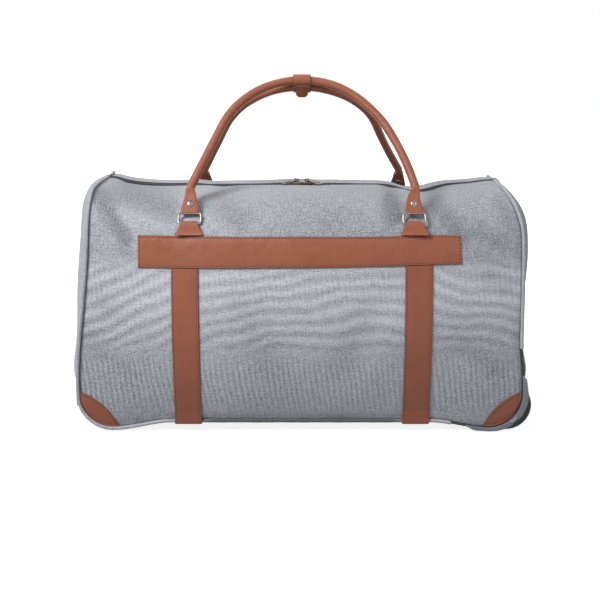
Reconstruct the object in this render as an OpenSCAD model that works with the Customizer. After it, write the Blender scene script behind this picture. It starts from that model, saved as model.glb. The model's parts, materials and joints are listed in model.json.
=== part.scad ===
// Wheeled travel bag, in millimetres.
// +X points to the wheel end, the front faces -Y and +Z is up. The origin is on the floor, under the middle.

/* [Bag body] */
// Half length of the bag, from its middle to the end seams
seam_half = 282; // [260:1:310]
// How far the left end panel bulges past its seam
bulge_left = 27.5; // [20:0.5:34]
// How far the wheel end's panel bulges past its seam
bulge_right = 22; // [16:0.5:30]
// How far the ends are drawn in again at half height
hollow = 6.5; // [0:0.5:8]
// Half depth of the bag at its seams
seam_depth = 115; // [105:1:125]
// How far the front and back bulge past their seams
belly = 25; // [15:1:32]
// Height of the top at the middle of the bag
crest_h = 302; // [292:1:320]
// Height at which the front and back are fullest
belly_z = 150; // [135:1:165]
// How far the left top corner stands above the middle of the top
rise_left = 16; // [8:0.5:20]
// How far the wheel end's top corner stands above the middle of the top
rise_right = 8.5; // [6:0.5:16]
// How far the left end leans in towards the top
lean_left = 15.5; // [6:0.5:20]
// How far the wheel end leans in above the wheels
lean_right = 4.5; // [0:0.5:10]
// How far the left top corner is rounded off
round_left = 14; // [6:1:16]
// How far the wheel end's top corner is drawn in
round_right = 18; // [10:1:24]
// Depth of the sag in the top beside the right handle
dip = 9; // [0:1:12]
// Height of the bottom seam at the middle
bottom_z = 17; // [15:1:20]
// How far the bottom seam hangs lower near its corners
droop = 10; // [4:1:10]
// Radius of the bottom corners, seen from the front
corner_r = 42; // [34:1:50]
// How much shorter the bag is from its middle to the wheel end
tuck = 3; // [0:1:6]
// Thickness of the padded fabric
panel_t = 2.4; // [1.5:0.1:3]
// Thickness of the leather trim
leather_t = 1.6; // [1.2:0.1:2.2]
// Radius of the piping cord in the seams
piping_r = 2.2; // [1.6:0.1:2.6]
// Gap kept between soft layers
lay_gap = 0.4; // [0.3:0.05:0.5]

/* [Leather trim] */
// Depth of the wide band's lower edge under the middle of the top
band_drop = 86; // [80:1:95]
// Width of the wide band
band_w = 39; // [30:1:42]
// Half length of the wide band
band_half = 199.5; // [190:0.5:208]
// How far the wide band sits to the left of the middle
band_off = 3; // [0:0.5:5]
// How much narrower the wide band is at its right end
band_taper = 5; // [0:0.5:8]
// Width of the vertical straps
strap_w = 34; // [24:1:36]
// Distance of each strap from the middle of the bag
strap_x = 144; // [132:1:148]
// How far the inner edge of a corner patch bows out
patch_bow = 8; // [4:1:12]

/* [Handles] */
// Distance of each handle tab from the middle of the bag
tab_x = 139; // [134:1:145]
// Radius of the handle tube
handle_r = 5.5; // [4.5:0.1:6]
// Radius of the handle's round top, to the middle of the tube
arch_r = 113; // [105:1:118]
// Distance from the ring to the centre of the round top
arch_h = 75; // [68:1:82]
// Spread of the handle's legs, from straight
leg_angle = 23; // [18:1:26]
// How far the right leg of the front handle bows out
leg_bow = 7; // [0:0.5:9]
// How far the right leg of the back handle bows in
leg_bow_back = 3; // [0:0.5:6]
// Width of the flat handle tab
tab_w = 22; // [18:1:23]
// Thickness of the flat handle tab
tab_t = 4.4; // [3.6:0.1:5]
// Radius of the ring wire
ring_r = 1.5; // [1.2:0.1:1.8]
// Distance between the two long bars of a ring
ring_h = 14; // [13:0.5:17]
// Inner width of a ring
ring_w = 24.5; // [24:0.5:28]
// Height of the ring's lower bar above the band
chape_h = 13; // [12:0.5:15]
// Length of the keeper along the handle
keeper_w = 23; // [16:1:30]
// How far before the middle of the bag the front handle's top stands
front_lean = 13; // [12:0.5:18]
// How far past the middle of the bag the back handle's top stands
back_lean = 0.7; // [0:0.1:2]

/* [Wheels] */
// Outer radius of the tyre
wheel_r = 32; // [29:0.5:34]
// Width of the tyre
wheel_w = 22; // [18:0.5:24]
// Radius of the axle
axle_r = 3; // [2.5:0.1:4]
// Distance of the axles in from the end seams
wheel_inset = 21; // [18:1:26]
// Wall of the wheel housing
housing_t = 2; // [1.6:0.1:2.4]
// Width of the corner guard
guard_w = 8; // [6:0.5:9]
// Thickness of the corner guard
guard_t = 3.6; // [3:0.1:4.5]

/* [Pull handle] */
// Outer radius of the fixed tubes
outer_tube_r = 9; // [8:0.1:10]
// Play of the sliding tubes in the fixed ones
tube_play = 0.5; // [0.3:0.05:0.8]
// Wall of the tubes
tube_t = 1; // [0.8:0.1:1.2]
// Distance of each tube from the middle of the bag
tube_y = 52; // [45:1:56]
// Length of the fixed tubes
outer_tube_l = 448; // [400:1:450]
// How far the sliding tubes reach into the fixed ones
inner_tube_l = 440; // [390:1:440]
// Thickness of the base board
board_t = 3; // [2:0.1:4]
// Height of the grip
grip_h = 20; // [18:0.5:22]

/* [Zip] */
// Half width of the opening between the front and back at the top
zip_half = 8; // [7:0.5:10]
// Half width of the zip's chain
chain_half = 3; // [2:0.1:3.5]
// Length of a zip slider
slider_l = 12; // [9:0.5:14]
// Length of a zip pull
pull_l = 22; // [16:1:26]

/* [Hidden] */

$fn = 48;
fabric = [0.62, 0.65, 0.68];
trim = [0.58, 0.34, 0.25];
metal = [0.78, 0.78, 0.78];
black = [0.12, 0.12, 0.13];
grey = [0.42, 0.43, 0.45];

// Shape of the top: the power of its rounding, and where it sags
round_n = 3.5;
dip_x = 157;
dip_w = 30;
rise_n = 8;
// Where the bottom seam starts to hang lower, and over what length
droop_x = 165;
droop_len = 75;
// Share of a panel's rows that lies below its fullest height
low_share = 0.4;
// A small step for finding slopes
tiny = 0.001;

function clamp01(t) = max(0, min(1, t));
function smooth(t) = let (c = clamp01(t)) c * c * (3 - 2 * c);
function unit(v) = v / norm(v);
function flat(rows) = [for (row = rows) for (p = row) p];
function steps(a, b, n) = [for (i = [0:n]) a + (b - a) * i / n];
function mirrored(points) = [for (p = points) [p.x, -p.y, p.z]];

// Half length at a height: the ends lean in at the top, and at the bottom of the wheel end
lean_from = 60;
left_over = 190;
right_over = 60;
left_round_h = 14;
right_round_h = 63;
function half_x(side, z) = side < 0
    ? seam_half - lean_left * smooth((z - lean_from) / left_over)
        - round_left * pow(clamp01((z - crest_h - rise_left) / left_round_h + 1), 2)
    : seam_half - tuck - lean_right * smooth((z - lean_from) / right_over)
        - round_right * pow(clamp01((z - crest_h - rise_right) / right_round_h + 1), 2);

// Height of the top and of the bottom seam, for u from -1 at the left end to 1 at the right
function end_rise(side) = side < 0 ? rise_left : rise_right;
function crest(u) = crest_h + end_rise(u) * pow(abs(u), rise_n)
    - dip * exp(-pow((u * (seam_half - lean_left) - dip_x) / dip_w, 2));
function seam_low(u) = let (x = abs(u) * seam_half, c = max(0, x - (seam_half - corner_r)))
    bottom_z - droop * smooth((x - droop_x) / droop_len) + corner_r - sqrt(max(0, corner_r * corner_r - c * c));
function fullness(u) = seam_depth + belly * (1 - pow(abs(u), 2.5));

// Point of the front, v from 0 at the bottom seam to 1 at the zip, drawn in by an inset
function front_point(u, v, inset = 0) = let (
        low = seam_low(u), a = fullness(u) - inset, b = crest(u) - belly_z - inset)
    v < low_share
    ? let (z = low + (belly_z - low) * v / low_share,
           d = a - (fullness(u) - seam_depth) * pow((belly_z - z) / (belly_z - low), 2.2))
        [u * half_x(u, z), -d, z]
    : let (t = (v - low_share) / (1 - low_share) * acos(zip_half / a),
           r = pow(pow(cos(t), round_n) + pow(sin(t), round_n), -1 / round_n),
           z = belly_z + b * r * sin(t))
        [u * half_x(u, z), -a * r * cos(t), z];
function front_normal(u, v) = let (
        u0 = max(-1, u - tiny), u1 = min(1, u + tiny), v0 = max(0, v - tiny), v1 = min(1, v + tiny))
    unit(cross(front_point(u1, v) - front_point(u0, v), front_point(u, v1) - front_point(u, v0)));
function skin(u, v, h) = front_point(u, v) + h * front_normal(u, v);

// The same surface by x and z, where h is the height above the fabric
function row_at(u, z) = let (low = seam_low(u), a = fullness(u), k = (z - belly_z) / (crest(u) - belly_z))
    z < belly_z ? low_share * (z - low) / (belly_z - low)
    : low_share + (1 - low_share) * atan2(k, pow(1 - pow(k, round_n), 1 / round_n)) / acos(zip_half / a);
function on_front(x, z, h) = let (u = x / half_x(x, z)) skin(u, row_at(u, z), h);

// The strip of the ends and base, q from 0 at the left end's top to 5 at the right end's top
corner_u = (seam_half - corner_r) / seam_half;
function arc_u(t) = (seam_half - corner_r + corner_r * sin(t)) / seam_half;
function strip_u(q) = q < 1 ? -1 : q < 2 ? -arc_u(90 * (2 - q)) : q < 3 ? -corner_u + 2 * corner_u * (q - 2)
    : q < 4 ? arc_u(90 * (q - 3)) : 1;
function strip_v(q) = q < 1 ? 1 - q : q > 4 ? q - 4 : 0;
function strip_angle(q) = q < 1 ? -90 : q < 2 ? -90 * (2 - q) : q < 3 ? 0 : q < 4 ? 90 * (q - 3) : 90;
bulge_half = 165;
bulge_n = 7;
base_bulge = 4;
hollow_z = 120;
hollow_h = 55;
function end_swell(side, z) = (side < 0 ? bulge_left : bulge_right)
    * (1 - pow(min(1, abs(z - crest_h - end_rise(side) + bulge_half) / bulge_half), bulge_n))
    - hollow * exp(-pow((z - hollow_z) / hollow_h, 2));
// The ends only begin to bulge above the foot of the bag
foot_z = 20;
foot_h = 55;
function strip_swell(q) = let (t = abs(strip_angle(q)), z = front_point(strip_u(q), strip_v(q)).z)
    base_bulge + (max(end_swell(q - 2.5, z), base_bulge) - base_bulge) * pow(sin(t), 1.2)
    * smooth((z - foot_z) / foot_h);
function strip_point(q, a, inset = 0) = let (
        p = front_point(strip_u(q), strip_v(q), inset), t = strip_angle(q),
        s = strip_swell(q) * (1 - pow(abs(a), 3)))
    [p.x + s * sin(t), a * -p.y, p.z - s * cos(t)];
function strip_normal(q, a, inset) = let (
        q0 = max(0, q - tiny), q1 = min(5, q + tiny), a0 = max(-1, a - tiny), a1 = min(1, a + tiny))
    unit(cross(strip_point(q, a1, inset) - strip_point(q, a0, inset),
        strip_point(q1, a, inset) - strip_point(q0, a, inset)));
function strip_skin(q, a, h, inset = 0) = strip_point(q, a, inset) + h * strip_normal(q, a, inset);

// The line of the seam, seen from the front, and the way out of it
function seam_point(q) = front_point(strip_u(q), strip_v(q));
function seam_out(q) = [sin(strip_angle(q)), 0, -cos(strip_angle(q))];
function seam_face(q) = front_normal(strip_u(q), strip_v(q));

// Closed shell between an outer and an inner grid: columns cross rows points out
module slab(outer, inner) {
    rows = len(outer);
    cols = len(outer[0]);
    n = rows * cols;
    cells = [for (r = [0:rows - 2]) for (c = [0:cols - 2]) [r * cols + c, r * cols + c + 1]];
    edge = concat([for (c = [0:cols - 1]) c], [for (r = [1:rows - 1]) r * cols + cols - 1],
        [for (c = [cols - 2:-1:0]) (rows - 1) * cols + c], [for (r = [rows - 2:-1:1]) r * cols]);
    m = len(edge);
    polyhedron(points = concat(flat(outer), flat(inner)), faces = concat(
        [for (k = cells) [k[0], k[0] + cols, k[1] + cols]],
        [for (k = cells) [k[0], k[1] + cols, k[1]]],
        [for (k = cells) [n + k[0], n + k[1] + cols, n + k[0] + cols]],
        [for (k = cells) [n + k[0], n + k[1], n + k[1] + cols]],
        [for (i = [0:m - 1]) [edge[i], edge[(i + 1) % m], n + edge[(i + 1) % m]]],
        [for (i = [0:m - 1]) [edge[i], n + edge[(i + 1) % m], n + edge[i]]]));
}

// Round cord along points, each with a direction that faces away from its seam
module loft(rings) {
    n = len(rings);
    k = len(rings[0]);
    polyhedron(points = [for (ring = rings) each ring], faces = concat(
        [[for (j = [0:k - 1]) j]],
        [[for (j = [k - 1:-1:0]) (n - 1) * k + j]],
        [for (i = [0:n - 2]) for (j = [0:k - 1]) [i * k + j, (i + 1) * k + j, (i + 1) * k + (j + 1) % k]],
        [for (i = [0:n - 2]) for (j = [0:k - 1])
            [i * k + j, (i + 1) * k + (j + 1) % k, i * k + (j + 1) % k]]));
}
module cord(points, facing, r, sides = 8) {
    n = len(points);
    dirs = [for (i = [0:n - 1]) unit(points[min(n - 1, i + 1)] - points[max(0, i - 1)])];
    loft([for (i = [0:n - 1]) let (a = unit(cross(dirs[i], facing[i])), b = cross(dirs[i], a))
        [for (j = [0:sides - 1]) points[i] + r * (cos(360 * j / sides) * a + sin(360 * j / sides) * b)]]);
}

// Fabric shells: the columns lie close together round the bottom corners
arc_parts = 4;
panel_u = concat([for (i = [0:arc_parts - 1]) -arc_u(90 - 90 * i / arc_parts)], steps(-corner_u, corner_u, 16),
    [for (i = [1:arc_parts]) arc_u(90 * i / arc_parts)]);
panel_v = concat(steps(0, low_share, 4), [for (i = [1:12]) low_share + (1 - low_share) * i / 12]);
end_inset = panel_t + lay_gap;

module front_shell()
    slab([for (v = panel_v) [for (u = panel_u) skin(u, v, 0)]],
        [for (v = panel_v) [for (u = panel_u) skin(u, v, -panel_t)]]);
module strip_shell(rows)
    slab([for (q = rows) [for (a = steps(-1, 1, 8)) strip_skin(q, a, 0, end_inset)]],
        [for (q = rows) [for (a = steps(-1, 1, 8)) strip_skin(q, a, -panel_t, end_inset)]]);

module front_panel() color(fabric) front_shell();
module back_panel() color(fabric) mirror([0, 1, 0]) front_shell();

// The seam between the ends and the base, and the room for the wheels
strip_gap = 0.002;
base_parts = 20;
wheel_x = seam_half - wheel_inset;
room_x = wheel_x - wheel_r - 16;
room_z = 2 * wheel_r + 20;
module both_sides() {
    children();
    mirror([0, 1, 0]) children();
}
module wheel_room()
    both_sides() translate([room_x, -2 * seam_depth, -room_z])
        cube([2 * wheel_r + 80, 2 * seam_depth - housing_in + housing_deep + lay_gap, 2 * room_z]);
module end_panel_left() color(fabric) difference() {
    strip_shell(concat(steps(0, 1, 10), steps(1.25, 2, 3)));
    translate([-seam_half - 40, -bezel_w / 2 - lay_gap, bezel_z - lay_gap])
        cube([80, bezel_w + 2 * lay_gap, bezel_h + 2 * lay_gap]);
}
module end_panel_right() color(fabric) difference() {
    strip_shell(concat(steps(3, 3.75, 3), steps(4, 5, 10)));
    wheel_room();
}
module base_panel() color(black) difference() {
    strip_shell(steps(2 + strip_gap, 3 - strip_gap, base_parts));
    wheel_room();
}

// Piping: round the whole seam, but left out where the wheel housing's rim takes its place
rim_q0 = 2 + (1 + (wheel_x - 70) / (corner_u * seam_half)) / 2;
rim_q1 = 4 + low_share * (wheel_r + 78 - seam_low(1)) / (belly_z - seam_low(1));
pipe_out = piping_r + lay_gap;
function end_out(q) = let (t = seam_point(min(5, q + tiny)) - seam_point(max(0, q - tiny))) unit([t.z, 0, -t.x]);
function pipe_point(q) = seam_point(q)
    + pipe_out * unit((q < 1 || q > 4 ? end_out(q) : seam_out(q)) + seam_face(q));
pipe_rows_a = concat(steps(0, 0.6, 12), steps(0.7, 1, 3), steps(1.125, 2, 7), steps(2.05, rim_q0 - 0.01, 14));
pipe_rows_b = concat([rim_q1 + 0.02, rim_q1 + 0.06], steps(4.4, 5, 12));
module piping() for (rows = [pipe_rows_a, pipe_rows_b])
    cord([for (q = rows) pipe_point(q)], [for (q = rows) seam_face(q)], piping_r);
module piping_front() color(fabric) piping();
module piping_back() color(fabric) mirror([0, 1, 0]) piping();

// Leather laid on the front and back: the wide band grows narrower towards its right end
band_z = crest_h - band_drop;
function band_low(x) = band_z + band_taper * (x + band_off + band_half) / (2 * band_half);
function band_row(x, f) = band_low(x) + f * (band_z + band_w - band_low(x));
module band() {
    xs = steps(-band_off - band_half, -band_off + band_half, 24);
    fs = steps(0, 1, 3);
    slab([for (f = fs) [for (x = xs) on_front(x, band_row(x, f), lay_gap + leather_t)]],
        [for (f = fs) [for (x = xs) on_front(x, band_row(x, f), lay_gap)]]);
}
module front_band() color(trim) band();
module back_band() color(trim) mirror([0, 1, 0]) band();

// A strap starts under the band, runs down over the piping, under the base and up the back
strap_foot = 12;
function strap_side(x, h) = let (low = seam_low(x / seam_half))
    concat([for (z = steps(band_low(x) - lay_gap, low + strap_foot, 9)) on_front(x, z, h)],
        [for (t = [180:30:270]) [x, -seam_depth - pipe_out * sqrt(0.5) + (piping_r + h) * cos(t),
            low - pipe_out * sqrt(0.5) + (piping_r + h) * sin(t)]]);
function strap_path(x, h) = let (one = strap_side(x, h), n = len(one))
    concat(one, mirrored([for (i = [n - 1:-1:0]) one[i]]));
function across(columns) = [for (i = [0:len(columns[0]) - 1]) [for (c = columns) c[i]]];
module strap(x) {
    xs = steps(x + strap_w / 2, x - strap_w / 2, 2);
    slab(across([for (c = xs) strap_path(c, lay_gap + leather_t)]), across([for (c = xs) strap_path(c, lay_gap)]));
}
module strap_left() color(trim) strap(-strap_x);
module strap_right() color(trim) strap(strap_x);

// Corner patches: the outer edge follows the seam, the inner edge bows into the panel
patch_over = 0.015;
patch_edge = 1;
module patch(side) {
    q0 = side < 0 ? 1 - patch_over : 3 - patch_over;
    rows = steps(0, 1, 3);
    ss = steps(0, 1, 8);
    p0 = seam_point(q0) - patch_edge * seam_out(q0);
    p1 = seam_point(q0 + 1 + 2 * patch_over) - patch_edge * seam_out(q0 + 1 + 2 * patch_over);
    chord = unit(p1 - p0);
    bow = patch_bow * [-chord.z, 0, chord.x];
    places = [for (w = rows) [for (s = ss) let (q = q0 + s * (1 + 2 * patch_over),
        low = seam_point(q) - patch_edge * seam_out(q), high = p0 + s * (p1 - p0) + 4 * s * (1 - s) * bow)
        low + w * (high - low) + (s == 0 || s == 1 ? w * 2 * [-chord.z, 0, chord.x] : [0, 0, 0])]];
    slab([for (r = places) [for (p = r) on_front(p.x, p.z, lay_gap + leather_t)]],
        [for (r = places) [for (p = r) on_front(p.x, p.z, lay_gap)]]);
}
module patch_front_left() color(trim) patch(-1);
module patch_front_right() color(trim) patch(1);
module patch_back_left() color(trim) mirror([0, 1, 0]) patch(-1);
module patch_back_right() color(trim) mirror([0, 1, 0]) patch(1);

// Chapes, rings and handles: the rings turn on the chapes, and the handles on the rings
fit_gap = 0.05;
loop_r = ring_r + fit_gap + leather_t;
chape_z = band_z + band_w + chape_h;
chape_lift = loop_r + 0.6;
chape_u = -tab_x / half_x(-1, chape_z);
chape_n = front_normal(chape_u, row_at(chape_u, chape_z));
bar_at = on_front(-tab_x, chape_z, chape_lift);
chape_slope = atan2(chape_n.z, -chape_n.y);
chape_top_w = 20;
chape_low_w = strap_w;
ring_corner = 3;
ring_hw = ring_w / 2 + ring_r;
upper_bar = [bar_at.y + ring_h * sin(chape_slope), bar_at.z + ring_h * cos(chape_slope)];

module along_x(r, l) rotate([0, 90, 0]) cylinder(r = r, h = l, center = true);
module at_chapes()
    for (x = [-tab_x, tab_x]) translate([x, bar_at.y, bar_at.z]) rotate([-chape_slope, 0, 0]) children();

module chape() difference() {
    union() {
        along_x(loop_r, chape_top_w);
        translate([0, loop_r, 0]) rotate([90, 0, 0]) linear_extrude(2 * leather_t)
            polygon([[-chape_top_w / 2, 0], [-chape_low_w / 2, -chape_h + 0.6], [chape_low_w / 2, -chape_h + 0.6],
                [chape_top_w / 2, 0]]);
    }
    along_x(ring_r + fit_gap, 2 * ring_w);
}
module chapes() at_chapes() chape();
module chapes_front() color(trim) chapes();
module chapes_back() color(trim) mirror([0, 1, 0]) chapes();

module ring() {
    for (z = [0, ring_h]) translate([0, 0, z]) along_x(ring_r, 2 * (ring_hw - ring_corner));
    for (s = [-1, 1]) {
        translate([s * ring_hw, 0, ring_corner]) cylinder(r = ring_r, h = ring_h - 2 * ring_corner);
        for (k = [0, 1]) translate([s * (ring_hw - ring_corner), 0, k == 0 ? ring_corner : ring_h - ring_corner])
            rotate([90, 0, 0]) rotate([0, 0, s > 0 ? (k == 0 ? -90 : 0) : (k == 0 ? 180 : 90)])
                rotate_extrude(angle = 90) translate([ring_corner, 0]) circle(ring_r);
    }
}
module rings() at_chapes() ring();
module rings_front() color(metal) rings();
module rings_back() color(metal) mirror([0, 1, 0]) rings();

// A handle stands on the upper bars, leaning over the bag until the two meet
arch_top = arch_h + arch_r;
lean_front = asin((-upper_bar[0] - front_lean) / arch_top);
lean_back = asin((-upper_bar[0] + back_lean) / arch_top);
flare_h = 36;
plate_h = 22;
plate_top_w = 15;
rivet_h = 12;
rivet_r = 1.5;
rivet_head_r = 4.2;
leg_top = [arch_r * cos(leg_angle), arch_h + arch_r * sin(leg_angle)];
leg_l = (leg_top[1] - flare_h) / cos(leg_angle);
leg_foot_x = leg_top[0] + leg_l * sin(leg_angle);

module in_handle(lean) translate([0, upper_bar[0], upper_bar[1]]) rotate([-lean, 0, 0]) children();
// Sections from a foot to the arch: place across and up, turn, half width, half depth and squareness
square_n = 8;
tab_shoulder = 6;
flare_parts = 5;
leg_parts = 5;
foot_sections = concat(
    [[tab_x, 0, 0, tab_w / 2, tab_t / 2, square_n],
        [tab_x, tab_shoulder, 0, tab_w / 2, tab_t / 2, square_n]],
    [for (i = [0:flare_parts]) let (f = smooth(i / flare_parts), h = plate_h + (flare_h - plate_h) * i / flare_parts)
        [tab_x + (leg_foot_x - tab_x) * f, h, leg_angle * f, plate_top_w / 2 + (handle_r - plate_top_w / 2) * f,
            tab_t / 2 + (handle_r - tab_t / 2) * f, square_n + (2 - square_n) * f]],
    [for (i = [1:leg_parts]) let (f = i / leg_parts) [leg_foot_x + (leg_top[0] - leg_foot_x) * f,
        flare_h + (leg_top[1] - flare_h) * f, leg_angle, handle_r, handle_r, 2]]);
arch_parts = 20;
arch_sections = [for (i = [1:arch_parts - 1]) let (t = leg_angle + (180 - 2 * leg_angle) * i / arch_parts)
    [arch_r * cos(t), arch_h + arch_r * sin(t), t, handle_r, handle_r, 2]];
bow_z0 = 20;
bow_z1 = 150;
function bowed(s, bow) = s[0] < 0 ? s
    : concat([s[0] + bow * sin(180 * clamp01((s[1] - bow_z0) / (bow_z1 - bow_z0)))], [for (k = [1:5]) s[k]]);
function handle_sections(bow) = [for (s = concat(foot_sections, arch_sections,
    [for (i = [len(foot_sections) - 1:-1:0]) let (s = foot_sections[i]) [-s[0], s[1], 180 - s[2], s[3], s[4], s[5]]]))
    bowed(s, bow)];
handle_sides = 16;
function squared(c, n) = sign(c) * pow(abs(c), 2 / n);
function handle_ring(s) = [for (j = [0:handle_sides - 1]) let (t = 360 * j / handle_sides,
    across = s[3] * squared(cos(t), s[5]))
    [s[0] + across * cos(s[2]), s[4] * squared(sin(t), s[5]), s[1] + across * sin(s[2])]];
loop_inset = 0.4;
module handle(bow) difference() {
    union() {
        loft([for (s = handle_sections(bow)) handle_ring(s)]);
        for (x = [-tab_x, tab_x]) translate([x, 0, 0]) along_x(loop_r, tab_w - 2 * loop_inset);
    }
    for (x = [-tab_x, tab_x]) translate([x, 0, 0]) {
        along_x(ring_r + fit_gap, 2 * ring_w);
        translate([0, 0, rivet_h]) rotate([90, 0, 0]) cylinder(r = rivet_r, h = 4 * tab_t, center = true);
    }
}
module handle_front() color(trim) in_handle(lean_front) handle(leg_bow);
module handle_back() color(trim) mirror([0, 1, 0]) in_handle(lean_back) handle(-leg_bow_back);

module rivet() {
    rotate([90, 0, 0]) cylinder(r = rivet_r, h = tab_t, center = true);
    for (s = [-1, 1]) translate([0, s * tab_t / 2, 0]) rotate([-s * 90, 0, 0]) rotate_extrude()
        polygon(concat([[0, 0], [rivet_head_r, 0]],
            [for (t = [0:18:90]) [rivet_head_r * cos(t), 0.4 + 1.4 * sin(t)]]));
}
module handle_rivets(lean) in_handle(lean) for (x = [-tab_x, tab_x]) translate([x, 0, rivet_h]) rivet();
module handle_rivets_front() color(metal) handle_rivets(lean_front);
module handle_rivets_back() color(metal) mirror([0, 1, 0]) handle_rivets(lean_back);

// The keeper wraps both handles and parts between them; its front half has the closing flap
keeper_in = handle_r + 0.7;
keeper_out = keeper_in + leather_t;
keeper_gap = 0.6;
flap_w = 16;
flap_over = 6;
top_front = [upper_bar[0] + arch_top * sin(lean_front), upper_bar[1] + arch_top * cos(lean_front)];
top_back = [-upper_bar[0] - arch_top * sin(lean_back), upper_bar[1] + arch_top * cos(lean_back)];
keeper_turn = atan2(top_back[1] - top_front[1], top_back[0] - top_front[0]);
keeper_span = norm(top_back - top_front);
module keeper_u(reach) difference() {
    union() {
        circle(keeper_out);
        translate([0, -keeper_out]) square([reach, 2 * keeper_out]);
    }
    circle(keeper_in);
    translate([0, -keeper_in]) square([reach + 1, 2 * keeper_in]);
}
module over_handles(at, turn) translate([0, at[0], at[1]]) rotate([90, 0, 90]) rotate([0, 0, turn]) children();
module keeper_front() color(trim) over_handles(top_front, keeper_turn) {
    linear_extrude(keeper_w, center = true) keeper_u((keeper_span - keeper_gap) / 2);
    linear_extrude(flap_w, center = true) {
        translate([0, -keeper_out - 0.5]) square([3, 1]);
        translate([0, -keeper_out - lay_gap - leather_t]) square([keeper_span + flap_over, leather_t]);
    }
}
module keeper_back() color(trim) over_handles(top_back, keeper_turn + 180)
    linear_extrude(keeper_w, center = true) keeper_u((keeper_span - keeper_gap) / 2);

// Wheels, in housings sunk into the lower corners of the wheel end
housing_in = seam_depth - end_inset;
wheel_side = 1.5;
wheel_y = housing_in - housing_t - wheel_side - wheel_w / 2;
housing_deep = 2 * housing_t + 2 * wheel_side + wheel_w;
arch_gap = 4;
rim_t = 3.2;
rim_deep = 3.5;
hub_r = wheel_r - 10;
hub_boss_r = axle_r + 4;
hub_web_t = 6;

module xz(y0, y1) translate([0, -y0, 0]) rotate([90, 0, 0]) linear_extrude(y1 - y0) children();
function seam_line(qs, out) = [for (q = qs) let (p = seam_point(q) + out * seam_out(q)) [p.x, p.z]];
function rim_band(qs, in, outs) = concat(seam_line(qs, in),
    [for (i = [len(qs) - 1:-1:0]) seam_line([qs[i]], outs[i])[0]]);
corner_q = concat(steps(2.85, 3, 3), steps(3.125, 4, 7), [4.1, 4.25]);
module inside_seam(out) polygon(concat([[wheel_x - 80, 2 * room_z], [wheel_x - 80, seam_point(2.85).z]],
    seam_line(corner_q, out), [[seam_half, 2 * room_z]]));
module arch_2d(r) {
    translate([wheel_x, wheel_r]) circle(r);
    translate([wheel_x - r, 0]) square([2 * r, wheel_r]);
}
arch_out = wheel_r + arch_gap + housing_t;
rim_q = concat(steps(rim_q0, 3, 4), steps(3.125, 4, 7), steps(4, rim_q1, 3));
module wheel_housing() difference() {
    union() {
        xz(housing_in - housing_t, housing_in) intersection() {
            arch_2d(arch_out);
            inside_seam(rim_t);
        }
        xz(housing_in - housing_deep, housing_in - housing_deep + housing_t) intersection() {
            arch_2d(arch_out);
            inside_seam(-0.5);
        }
        xz(housing_in - housing_deep, housing_in) intersection() {
            difference() {
                arch_2d(arch_out);
                arch_2d(arch_out - housing_t);
            }
            inside_seam(-0.5);
        }
        xz(housing_in, housing_in + rim_deep) polygon(rim_band(rim_q, lay_gap, [for (q = rim_q) rim_t]));
    }
    translate([wheel_x, 0, wheel_r]) rotate([90, 0, 0]) cylinder(r = axle_r, h = 2 * seam_depth);
}
module wheel_housing_front() color(black) wheel_housing();
module wheel_housing_back() color(black) mirror([0, 1, 0]) wheel_housing();

// The guard lies on the housing's rim and turns in over it round the corner
guard_q0 = 2 + (1 + (wheel_x - 51) / (corner_u * seam_half)) / 2;
guard_q1 = 4 + low_share * (wheel_r + 43 - seam_low(1)) / (belly_z - seam_low(1));
guard_q = concat([guard_q0, guard_q0 + 0.02], steps(2.97, 3, 1), steps(3.125, 4, 7), [guard_q1 - 0.02, guard_q1]);
guard_low = 5.2;
guard_tip = 1.5;
guard_flare = 200;
function guard_out(q) = let (full = guard_low + (guard_w - guard_low) * sin(strip_angle(q)))
    min(full, guard_tip + guard_flare * min(q - guard_q0, guard_q1 - q));
module corner_guard() {
    front = housing_in + rim_deep + 0.2;
    xz(front, front + guard_t) polygon(rim_band(guard_q, lay_gap, [for (q = guard_q) guard_out(q)]));
    lip_q = [for (q = guard_q) if (guard_out(q) > rim_t + 1.5) q];
    xz(housing_in - housing_t, front) polygon(rim_band(lip_q, rim_t + 0.3, [for (q = lip_q) guard_out(q)]));
}
module corner_guard_front() color(grey) corner_guard();
module corner_guard_back() color(grey) mirror([0, 1, 0]) corner_guard();

module at_wheel() translate([wheel_x, -wheel_y, wheel_r]) rotate([90, 0, 0]) children();
module axle() at_wheel() cylinder(r = axle_r, h = housing_deep, center = true);
module axle_front() color(metal) axle();
module axle_back() color(metal) mirror([0, 1, 0]) axle();

module hub() at_wheel() difference() {
    union() {
        difference() {
            cylinder(r = hub_r, h = wheel_w - 4, center = true);
            cylinder(r = hub_r - 3, h = wheel_w, center = true);
        }
        cylinder(r = hub_r - 2, h = hub_web_t, center = true);
        cylinder(r = hub_boss_r, h = wheel_w, center = true);
    }
    cylinder(r = axle_r + fit_gap, h = 2 * wheel_w, center = true);
    for (t = [0:60:300]) rotate([0, 0, t]) translate([(hub_boss_r + hub_r - 3) / 2, 0, 0])
        cylinder(r = (hub_r - 3 - hub_boss_r) / 2 - 1.5, h = wheel_w, center = true);
}
module hub_front() color(grey) hub();
module hub_back() color(grey) mirror([0, 1, 0]) hub();

tyre_round = 3;
module tyre() at_wheel() rotate_extrude($fn = 96) difference() {
    union() {
        translate([hub_r, -wheel_w / 2]) square([wheel_r - hub_r - tyre_round, wheel_w]);
        translate([hub_r, -wheel_w / 2 + tyre_round]) square([wheel_r - hub_r, wheel_w - 2 * tyre_round]);
        for (s = [-1, 1]) translate([wheel_r - tyre_round, s * (wheel_w / 2 - tyre_round)]) circle(tyre_round);
    }
}
module tyre_front() color(black) tyre();
module tyre_back() color(black) mirror([0, 1, 0]) tyre();

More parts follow.
